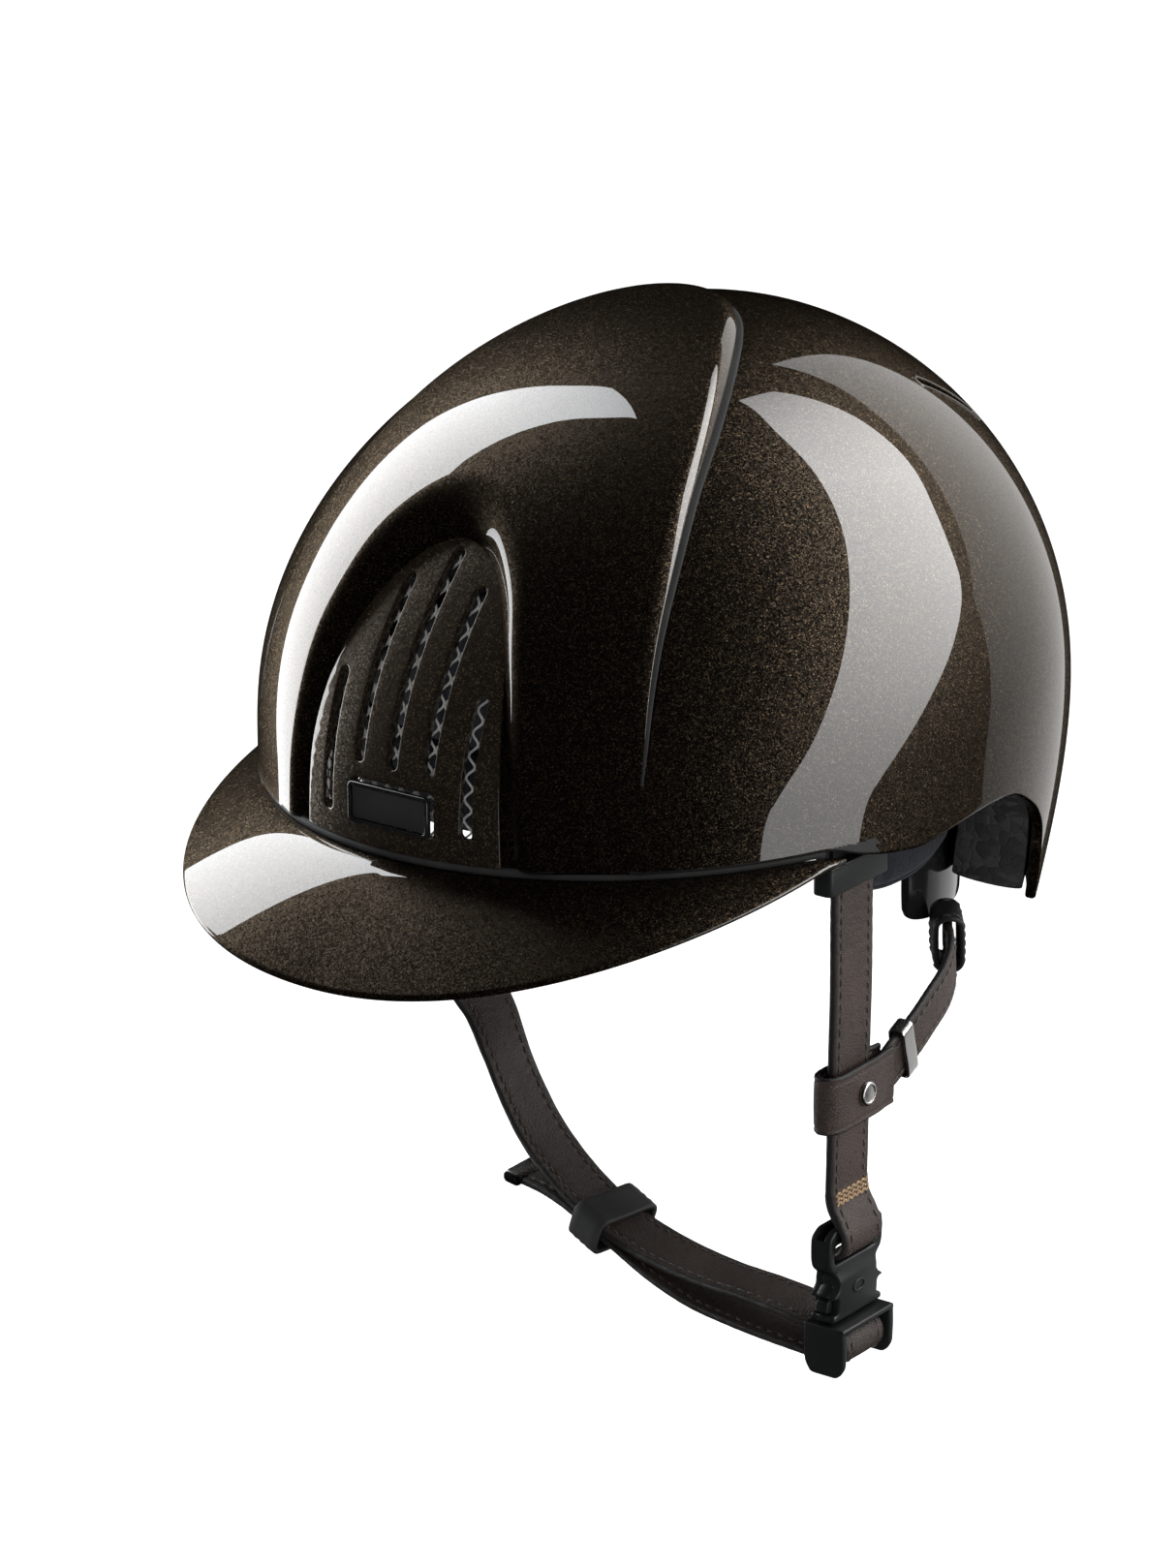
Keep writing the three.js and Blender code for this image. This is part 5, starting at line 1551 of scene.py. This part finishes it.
BX, BZ = 90.5, -143.8
B = Build()
cheek = rounded_poly([(-6.4, -136.6), (6.4, -136.6), (6.5, -142.5), (6.3, -147.8), (4.4, -150.9), (-4.4, -150.9), (-6.3, -147.8), (-6.5, -142.5)], 1.3, 4)
for s_ in (1, -1):
    lo_, hi_ = (9.95, 12.35) if s_ > 0 else (-12.35, -9.95)
    plate(cheek, [], lo_, hi_, 0.7, lambda uv, h: np.stack([BX + uv[:, 0], Y0 + np.asarray(h), uv[:, 1]], 1), steps=4, build=B)
rbox(B, [BX - 6.5, Y0 - 12.3, -138.0], [BX + 6.5, Y0 + 12.3, -136.45], 0.55)
bar = rounded_rect(3.1, 2.7, 1.0, 4)
plate(bar, [], -10.6, 10.6, 0.1, lambda uv, h: np.stack([BX + uv[:, 0], Y0 + np.asarray(h), BZ + uv[:, 1]], 1), steps=1, build=B)
rbox(B, [X0 - 2.05, Y0 - 2.0, -136.9], [X0 + 2.05, Y0 + 2.0, -125.3], 0.6)
o = weld(B.make("buckle_plug_frame", [hardware], sharp=42), 1e-7)
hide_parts("buckle_plug")
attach(o, "plug")
for sy, name, body in ((-1, "prong_front", "front_button"), (1, "prong_rear", "rear_button")):
    q = [[4.2, -135.9], [7.6, -135.9], [8.3, -133], [11.9, -132.9], [12.1, -131.4], [11.6, -129.6], [8.9, -128.8], [8.4, -126], [6.6, -125.4], [5.4, -127.6]]
    pts = rounded_poly([(sy * a, b) for a, b in q], 0.7, 3)
    B = plate(pts, [], -1.85, 1.85, 0.35, in_yz(X0, Y0), steps=3)
    for k in range(3):
        zc = -130.2 - 0.9 * k
        rbox(B, [X0 - 1.4, Y0 + (sy * 12.05 if sy < 0 else 11.75), zc - 0.18], [X0 + 1.4, Y0 + (sy * 11.75 if sy < 0 else 12.05), zc + 0.18], 0.12, steps=1)
    o = weld(B.make(name + "_moulding", [hardware], sharp=42), 1e-7)
    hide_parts(name)
    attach(o, body)

# ------------------------------------------------------------------ hangers
for s_, name in ((1, "left"), (-1, "right")):
    B = Build()
    cx = s_ * 89.7
    ringo = rounded_rect(6.1, 27.8, 1.7, 5, 0, 0)
    hole_ = rounded_rect(4.1, 24.5, 0.5, 3, -s_ * 0.0 + s_ * 0.2, 0)
    atz = lambda uv, h: np.stack([cx + uv[:, 0], -52.5 + uv[:, 1], np.asarray(h)], 1)
    plate(ringo, [hole_], -13.25, -6.3, 0.05, atz, steps=3, rb=0.45, build=B)
    plate(ringo, [], -6.3, -5.15, 0.5, atz, steps=3, rb=0.02, build=B)
    rbox(B, [s_ * 88.6 - 0.85, -60.4, -6.0], [s_ * 88.6 + 0.85, -44.6, 15.8], 0.5)
    o = weld(B.make(name + "_hanger_moulding", [hardware], sharp=42), 1e-7)
    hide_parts(name + "_hanger")
    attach(o, "helmet")
    B = Build()
    lathe(B, [(3.15, -0.6), (3.15, 0.1), (2.9, 0.4), (2.2, 0.58), (1.2, 0.62), (0.05, 0.62)], [s_ * 86.85, -52.5, 9.5], [-s_, 0, 0], 40)
    o = B.make(name + "_hanger_rivet_head", [metal], sharp=50)
    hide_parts(name + "_hanger_rivet")
    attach(o, "helmet")

# ------------------------------------------------------------------ nape yoke
YOKE = [[70, 3, -34], [70.5, 18, -34], [66, 34, -33], [55, 47.5, -31], [35, 57.5, -29.5], [12, 62, -28.5], [-12, 62, -28.5], [-35, 57.5, -29.5], [-55, 47.5, -31], [-66, 34, -33], [-70.5, 18, -34], [-70, 3, -34]]
o = strap("nape_yoke_moulding", YOKE, (0, 0, 1), 27, 2.4, [gloss_black, gloss_black, gloss_black], 220, crown=0.3, edge_r=1.1, seed=0.0,
          shape=lambda f: (0.62 + 0.38 * np.sqrt(np.clip(1 - (2 * np.abs(f - 0.5)) ** 14, 0, 1)), 1 + 0 * f))
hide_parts("nape_yoke")
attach(o, "helmet")

# ------------------------------------------------------------------ foam liner
LOW_L = [[0, 0], [52, -1], [62, -10], [70, -24], [78, -27], [95, -27], [108, -26], [125, -24], [180, -24]]


def ring_wall(out, inn, lower, upper, n, rows, r, steps=5):
    """Closed wall round the head between two offsets, with rounded lower and upper edges. Returns V (n, m, 3)."""
    deg = np.linspace(-180, 180, n, endpoint=False)
    ph = np.radians(deg)
    lo, hi = lower(deg), upper(deg)
    T = out - inn
    sec = []
    for k in range(rows + 1):
        t = k / rows
        sec.append((mix(lo + r, hi - r, t), out))
    for a in np.linspace(0, PI, 2 * steps + 1)[1:-1]:
        sec.append((hi - r + r * np.sin(a), (out + inn) / 2 + T / 2 * np.cos(a)))
    for k in range(rows + 1):
        t = 1 - k / rows
        sec.append((mix(lo + r, hi - r, t), inn))
    for a in np.linspace(0, PI, 2 * steps + 1)[1:-1]:
        sec.append((lo + r - r * np.sin(a), (out + inn) / 2 - T / 2 * np.cos(a)))
    V = []
    for z, off in sec:
        s = (z - EQ) / 105
        s = np.where(z > EQ, np.arcsin(np.clip(s, -1, 1)), s)
        q = to_q(ph, s)
        P, N = surf(q)
        V.append(P + N * off)
    return np.stack(V, 1), deg


eps_low = lambda d: rim_z(d) + 1.2
V, deg = ring_wall(-4.2, -24.0, eps_low, lambda d: 100 + 0 * d, 240, 26, 1.2)
# the wall's faces, left open at the front round the grille recess
m_ = V.shape[1]
F = grid_faces(240, m_, wu=True, wv=True)
GNv = grid_normals(V, wu=True)
cc = V.mean(1, keepdims=True)
if ((V - cc) * GNv).sum() < 0:
    F = [f[::-1] for f in F]
B = Build()
cen = V.reshape(-1, 3)
fc = np.array([cen[list(f)].mean(0) for f in F])
front_gap = (fc[:, 1] < -60) & (np.abs(fc[:, 0]) < np.interp(fc[:, 2], [r[1] for r in RECESS], [r[0] + 5 for r in RECESS])) & (fc[:, 2] < 100)
B.add(cen, [f for f, g in zip(F, front_gap) if not g])
# crown of the foam
def cap_wall(off, n=120, rows=14, z0=99.0, flip=False):
    ph = np.linspace(-PI, PI, n, endpoint=False)
    s0 = math.asin((z0 - EQ) / 105)
    V = []
    for k in range(rows):
        q = to_q(ph, np.full(n, mix(s0, PI / 2 - 0.02, k / (rows - 1))))
        P, N = surf(q)
        V.append(P + N * off)
    return np.stack(V, 1)
for off, up_ in ((-4.2, True), (-24.0, False)):
    V = cap_wall(off)
    F = grid_faces(120, 14, wu=True)
    fN = np.cross(V[1, 0] - V[0, 0], V[0, 1] - V[0, 0])
    nrm = unit(V[0, 0] - [0, 0, 20])
    good = (fN @ nrm > 0) == up_
    F = [f if good else f[::-1] for f in F]
    last = tuple(i * 14 + 13 for i in range(120))
    B.add(V, F + [last if up_ else last[::-1]])
o = B.make("foam_liner_shell", [foam], sharp=50)
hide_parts("eps_liner")
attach(o, "helmet")



# ------------------------------------------------------------------ padded comfort lining
def inflate(o, pinned, pressure, cap_in, cap_out, away, frames=16):
    """Swells a closed pad with Blender's Cloth between its sewn lines, keeps the result and removes the modifier. Lengths in mm."""
    me = o.data
    n = len(me.vertices)
    P0 = np.zeros(n * 3, np.float32)
    me.vertices.foreach_get("co", P0)
    P0 = P0.reshape(-1, 3)
    g = o.vertex_groups.new(name="sewn")
    for w in np.unique(np.round(pinned, 2)):
        if w > 0:
            g.add([int(i) for i in np.where(np.round(pinned, 2) == w)[0]], float(w), "REPLACE")
    md = o.modifiers.new("swell", "CLOTH")
    cs = md.settings
    cs.quality = 6
    cs.mass = 0.25
    cs.tension_stiffness = 12
    cs.compression_stiffness = 12
    cs.shear_stiffness = 5
    cs.bending_stiffness = 0.3
    cs.use_pressure = True
    cs.uniform_pressure_force = pressure
    cs.vertex_group_mass = "sewn"
    cs.effector_weights.gravity = 0
    md.collision_settings.use_collision = False
    md.collision_settings.use_self_collision = False
    md.point_cache.frame_start = 1
    md.point_cache.frame_end = frames
    for f in range(1, frames + 1):
        scene.frame_set(f)
    dg = bpy.context.evaluated_depsgraph_get()
    ev = o.evaluated_get(dg)
    P1 = np.zeros(n * 3, np.float32)
    ev.data.vertices.foreach_get("co", P1)
    P1 = P1.reshape(-1, 3)
    o.modifiers.remove(md)
    scene.frame_set(1)
    D = (P1 - P0) / MM
    D = np.where(np.isfinite(D), D, 0)
    k = (D * away).sum(1, keepdims=True)
    lim = np.where(k > 0, cap_out, cap_in)
    ln = np.maximum(np.linalg.norm(D, axis=1, keepdims=True), 1e-9)
    D = D / ln * lim * np.tanh(ln / lim)
    me.vertices.foreach_set("co", ((P0 / MM + D) * MM).astype(np.float32).reshape(-1))
    me.update()
    o.vertex_groups.clear()


def soften(o):
    md = o.modifiers.new("round", "SUBSURF")
    md.levels = md.render_levels = 1
    dg = bpy.context.evaluated_depsgraph_get()
    me = bpy.data.meshes.new_from_object(o.evaluated_get(dg))
    o.modifiers.clear()
    o.data = me


# headband: a sewn ring of padded cloth, in panels between cross seams
NB = 300
deg_b = np.linspace(-180, 180, NB, endpoint=False)
low_b = np.interp(np.abs(deg_b), [r[0] for r in LOW_L], [r[1] for r in LOW_L]) + 1.0
low_b = gauss(np.stack([low_b, low_b], 1), 2.0, True)[:, 0]
SEAMS = np.array([-165, -135, -105, -78, -52, -26, 0, 26, 52, 78, 105, 135, 165.0])
seam_d = np.abs((deg_b[:, None] - SEAMS[None] + 180) % 360 - 180).min(1)
tuck = np.exp(-(seam_d / 0.9) ** 2)
sec, kinds = [], []
n_r = 11
for k in range(n_r):
    sec.append((k / (n_r - 1), -25.9)); kinds.append(0)
sec += [(1.018, -26.9), (1.026, -27.9), (1.018, -28.9)]; kinds += [1, 1, 1]
for k in range(n_r):
    sec.append((1 - k / (n_r - 1), -29.6)); kinds.append(2)
sec += [(-0.018, -28.9), (-0.026, -27.9), (-0.018, -26.9)]; kinds += [1, 1, 1]
V, NN, PIN = [], [], []
for (t, off), kd in zip(sec, kinds):
    z = mix(low_b, np.full(NB, 25.0), t)
    s = (z - EQ) / 105
    s = np.where(z > EQ, np.arcsin(np.clip(s, -1, 1)), s)
    P, N = surf(to_q(np.radians(deg_b), s))
    o_ = off + (1.5 * tuck if kd == 2 else 0) - (0.7 * tuck if kd == 0 else 0)
    if kd == 2:
        o_ = o_ - 0.5 * math.sin(PI * min(max(t, 0), 1))
    V.append(P + N * np.asarray(o_)[..., None] if np.ndim(o_) else P + N * o_)
    NN.append(N)
    edge_pin = 1.0 if kd == 1 else (0.85 if abs(t - 0.5) > 0.44 else 0.0)
    PIN.append(np.maximum(np.where(tuck > 0.5, 1.0, 0.0), edge_pin))
V, NN, PIN = np.stack(V, 1), np.stack(NN, 1), np.stack(PIN, 1)
F = grid_faces(NB, len(sec), wu=True, wv=True)
GNv = grid_normals(V, wu=True)
if ((V - V.mean(1, keepdims=True)) * GNv).sum() < 0:
    F = [f[::-1] for f in F]
band = mesh_object("headband_padding", V.reshape(-1, 3), F, [cloth])
inflate(band, PIN.reshape(-1), 3.0, 1.5, 0.5, NN.reshape(-1, 3))
soften(band)
# piping stitched along the lower and upper edges, and thread in the cross seams
S = Build()
for t in (-0.030, 1.030):
    z = mix(low_b, np.full(NB, 25.0), t)
    s = (z - EQ) / 105
    s = np.where(z > EQ, np.arcsin(np.clip(s, -1, 1)), s)
    P, N = surf(to_q(np.radians(deg_b), s))
    tube(S, P - N * 27.9, 0.85, 8, closed=True, up=N)
for sd_ in SEAMS:
    z = np.arange(-22, 24, 3.0)
    lb = np.interp(abs(sd_), [r[0] for r in LOW_L], [r[1] for r in LOW_L]) + 2.5
    for z0 in z[z > lb]:
        zz = np.array([z0, z0 + 0.3, z0 + 1.1, z0 + 1.9, z0 + 2.2])
        s = np.where(zz > EQ, np.arcsin(np.clip((zz - EQ) / 105, -1, 1)), (zz - EQ) / 105)
        P, N = surf(to_q(np.radians(np.full(5, sd_)), s))
        tube(S, P - N * np.array([28.0, 28.35, 28.5, 28.35, 28.0])[:, None], np.array([.12, .3, .34, .3, .12]), 6, m=1, up=N)
pip = S.make("headband_piping", [cloth, black_thread])
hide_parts("headband_liner")
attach(band, "helmet")
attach(pip, "helmet")

# crown pad: a quilted disc of the same cloth
NC, RC = 120, 22
ph_c = np.linspace(-PI, PI, NC, endpoint=False)
s_lo = math.asin((86.5 - EQ) / 105)
V, NN, PIN = [], [], []
rings = []
for face, off in ((0, -25.8), (2, -29.4)):
    for k in range(RC):
        rings.append((mix(s_lo, PI / 2 - 0.05, k / (RC - 1)) if face == 0 else mix(PI / 2 - 0.05, s_lo, k / (RC - 1)), off, face))
rings += [(s_lo - 0.022, -28.6, 1), (s_lo - 0.03, -27.6, 1), (s_lo - 0.022, -26.6, 1)]
spoke = np.abs(((np.degrees(ph_c) + 180) % 60) - 30)
spoke_t = np.exp(-((spoke - 0) / 1.6) ** 2)
for s_, off, face in rings:
    P, N = surf(to_q(ph_c, np.full(NC, s_)))
    ring_t = math.exp(-((s_ - mix(s_lo, PI / 2, 0.45)) / 0.025) ** 2)
    tk = np.maximum(spoke_t * (1 if s_ < mix(s_lo, PI / 2, 0.9) else 0), ring_t)
    o_ = off + (1.3 * tk if face == 2 else 0)
    V.append(P + N * np.asarray(o_)[:, None] if np.ndim(o_) else P + N * o_)
    NN.append(N)
    PIN.append(np.maximum(np.where(tk > 0.5, 1.0, 0.0), 1.0 if face == 1 or s_ < s_lo + 0.01 else 0.0))
V, NN, PIN = np.stack(V, 1), np.stack(NN, 1), np.stack(PIN, 1)
m_ = V.shape[1]
F = grid_faces(NC, m_, wu=True, wv=True)
# the two rows at the pole are joined by the strip between the faces; it is replaced by two caps
F = [f for f in F if {f[0] % m_, f[2] % m_} != {RC - 1, RC}]
GNv = grid_normals(V, wu=True)
if ((V - V.mean((0, 1))) * GNv)[:, :RC - 2].sum() < 0:
    F = [f[::-1] for f in F]
ftest = F[3]
Vf = V.reshape(-1, 3)
top_c = [i * m_ + RC - 1 for i in range(NC)]
bot_c = [i * m_ + RC for i in range(NC)]
me_n = np.cross(Vf[top_c[1]] - Vf[top_c[0]], Vf[top_c[40]] - Vf[top_c[0]])
F.append(tuple(top_c) if me_n[2] > 0 else tuple(top_c[::-1]))
F.append(tuple(bot_c[::-1]) if me_n[2] > 0 else tuple(bot_c))
pad = mesh_object("crown_padding", Vf, F, [cloth])
weld(pad, 1e-7)
inflate(pad, PIN.reshape(-1), 3.0, 1.6, 0.5, NN.reshape(-1, 3))
soften(pad)
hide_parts("crown_pad")
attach(pad, "helmet")


# ------------------------------------------------------------------ camera
TH, EL, F_PX = math.radians(35.844), math.radians(17.798), 5950.0
IMG_W, IMG_H = 1214, 1619
cam_at = Vector((892.1, -1234.9, 504.4)) * MM
look = Vector((-math.sin(TH) * math.cos(EL), math.cos(TH) * math.cos(EL), -math.sin(EL)))
right = look.cross(Vector((0, 0, 1))).normalized()
up = right.cross(look)
aim = (look + right * ((IMG_W / 2 - 713.8) / F_PX) - up * ((IMG_H / 2 - 690.6) / F_PX)).normalized()
turn = look.rotation_difference(aim).to_matrix()
rot = turn @ Matrix((right, up, -look)).transposed()
cam = bpy.data.cameras.new("camera")
cam.sensor_width = 36.0
cam.lens = 36.0 * F_PX / IMG_H
cam.clip_end = 50
cam_o = bpy.data.objects.new("camera", cam)
cam_o.matrix_world = Matrix.Translation(cam_at) @ rot.to_4x4()
scene.collection.objects.link(cam_o)
scene.camera = cam_o

# ------------------------------------------------------------------ floor, light
def emitter(name, color, strength):
    m = bpy.data.materials.new(name)
    m.use_nodes = True
    nt = m.node_tree
    nt.nodes.clear()
    e = nt.nodes.new("ShaderNodeEmission")
    e.inputs["Color"].default_value = (*color, 1)
    e.inputs["Strength"].default_value = strength
    out = nt.nodes.new("ShaderNodeOutputMaterial")
    nt.links.new(e.outputs[0], out.inputs["Surface"])
    return m


floor_m, nt, b = material("floor_paper")
fv = coords(nt)
fn_ = noise_tex(nt, fv, 6, 3)
nt.links.new(ramp(nt, fn_.outputs["Fac"], [(0.3, (.93, .93, .93)), (0.7, (.96, .96, .96))]), b.inputs["Base Color"])
b.inputs["Roughness"].default_value = 0.9
b.inputs["Emission Color"].default_value = (1, 1, 1, 1)
b.inputs["Emission Strength"].default_value = 0.3
fl = mesh_object("floor", [[-9000, -9000, -900], [9000, -9000, -900], [9000, 9000, -900], [-9000, 9000, -900]], [(0, 1, 2, 3)], floor_m, smooth=False)
fl.visible_glossy = False

world = bpy.data.worlds.new("studio")
scene.world = world
world.use_nodes = True
world.node_tree.nodes["Background"].inputs["Color"].default_value = (1, 1, 1, 1)
world.node_tree.nodes["Background"].inputs["Strength"].default_value = 1.0
world.cycles_visibility.glossy = False
scene.view_settings.view_transform = "Standard"

CEN = np.array([0, 0, 30.0])


def softbox(name, outline, strength, dist=1500.0, color=(1, 1, 1)):
    """A flag-cut softbox: outline is a list of directions (azimuth, elevation) in degrees seen from the helmet; azimuth 0 is towards the front, 90 towards the wearer's left."""
    az, el = np.radians(np.array(outline, float)).T
    D = np.stack([np.sin(az) * np.cos(el), -np.cos(az) * np.cos(el), np.sin(el)], 1)
    V = CEN + D * dist
    F = [tuple(range(len(V)))]
    o = mesh_object(name, V, F, [emitter(name + "_light", color, strength)], smooth=False)
    o.visible_camera = False
    o.visible_shadow = False
    return o


def strip_light(name, line, width, strength, dist=1500.0, color=(1, 1, 1), fade=0.0):
    """A curved strip softbox along a line of (azimuth, elevation, half width in degrees)."""
    L = catmull(np.array(line, float), 10)
    az, el = np.radians(L[:, 0]), np.radians(L[:, 1])
    D = np.stack([np.sin(az) * np.cos(el), -np.cos(az) * np.cos(el), np.sin(el)], 1)
    T = unit(np.gradient(D, axis=0))
    S = unit(np.cross(D, T))
    h = np.tan(np.radians(L[:, 2]))[:, None]
    V = np.stack([CEN + (D - S * h) * dist, CEN + (D + S * h) * dist], 1)
    o = mesh_object(name, V.reshape(-1, 3), grid_faces(len(L), 2), [emitter(name + "_light", color, strength)], smooth=False)
    o.visible_camera = False
    o.visible_shadow = False
    return o


def panel_light(name, line_a, line_b, values, dist=1500.0, color=(1, 1, 1), cols=7, edge=None):
    """A curved softbox between two lines of directions, its brightness given along its length; edge dims it towards line_b."""
    A, C = catmull(np.array(line_a, float), 8), catmull(np.array(line_b, float), 8)
    n = max(len(A), len(C))
    A, C = resample(A, n), resample(C, n)
    val = np.interp(np.linspace(0, 1, n), np.linspace(0, 1, len(values)), values)
    rows, W = [], []
    for k in range(cols):
        t = k / (cols - 1)
        az, el = np.radians(mix(A, C, t)).T
        D = np.stack([np.sin(az) * np.cos(el), -np.cos(az) * np.cos(el), np.sin(el)], 1)
        rows.append(CEN + D * dist)
        W.append(val * (1 if edge is None else np.interp(t, np.linspace(0, 1, len(edge)), edge)))
    V, W = np.stack(rows, 1), np.stack(W, 1)
    m = emitter(name + "_light", color, 1.0)
    nt = m.node_tree
    a = nt.nodes.new("ShaderNodeAttribute")
    a.attribute_name = "glow"
    nt.links.new(a.outputs["Fac"], [x for x in nt.nodes if x.type == "EMISSION"][0].inputs["Strength"])
    o = mesh_object(name, V.reshape(-1, 3), grid_faces(n, cols), [m], smooth=False)
    at = o.data.attributes.new("glow", "FLOAT", "POINT")
    at.data.foreach_set("value", W.reshape(-1).astype(np.float32))
    o.visible_camera = False
    o.visible_shadow = False
    return o


panel_light("key_softbox",
            [(-126, 64.7), (-117, 57), (-111.8, 47), (-109, 37), (-106.9, 28), (-103.7, 20.6), (-99.8, 13), (-97, 5.8), (-96.3, -2), (-96.2, -10), (-96, -20)],
            [(-134.2, 78.4), (-111, 73), (-98, 64), (-90, 55.7), (-83, 46.9), (-79, 37), (-77, 26), (-73, 14), (-68, 2), (-72, -10), (-84, -21)],
            [7.0, 8.5, 9.5, 8.0, 6.8, 6.0, 5.4], color=(0.95, 0.975, 1.0))
panel_light("side_softbox",
            [(183, 61), (156, 59), (135, 50), (119, 37), (109, 25), (99, 9), (91, -5), (79, -21)],
            [(181, 54), (171, 47.5), (162, 40.6), (154.4, 34), (146, 27.5), (141.5, 22), (137, 14), (129, 6), (121, -2), (111, -14), (104, -21)],
            [3.5, 6.5, 9.0, 8.5, 6.5, 4.2, 2.9])
panel_light("backdrop_wall",
            [(138, -38), (152, -38), (164, -38), (175, -38), (187, -38)],
            [(140, 10), (155, 27), (168, 37), (180, 42), (193, 46)],
            [0.35, 0.55, 0.75, 0.95, 1.1], dist=2500.0, edge=[0.9, 0.9, 0.9, 1.05, 1.4, 1.6, 1.6])

SLOT_OF = {paint: "shell_paint", paint_insert: "shell_paint", wire_metal: "grille_wire", satin_black: "badge_black", gloss_black: "yoke_black", rubber: "gasket_rubber",
           foam: "foam", cloth: "comfort_cloth", hardware: "hardware", leather: "strap_leather", leather_dark: "strap_leather", black_leather: "black_leather", metal: "bright_metal"}
for o in list(scene.objects):
    if o.type == "MESH" and o.data.materials and o.data.materials[0] in SLOT_OF:
        "badge_black" if o.name == "badge_rim" else SLOT_OF[o.data.materials[0]]
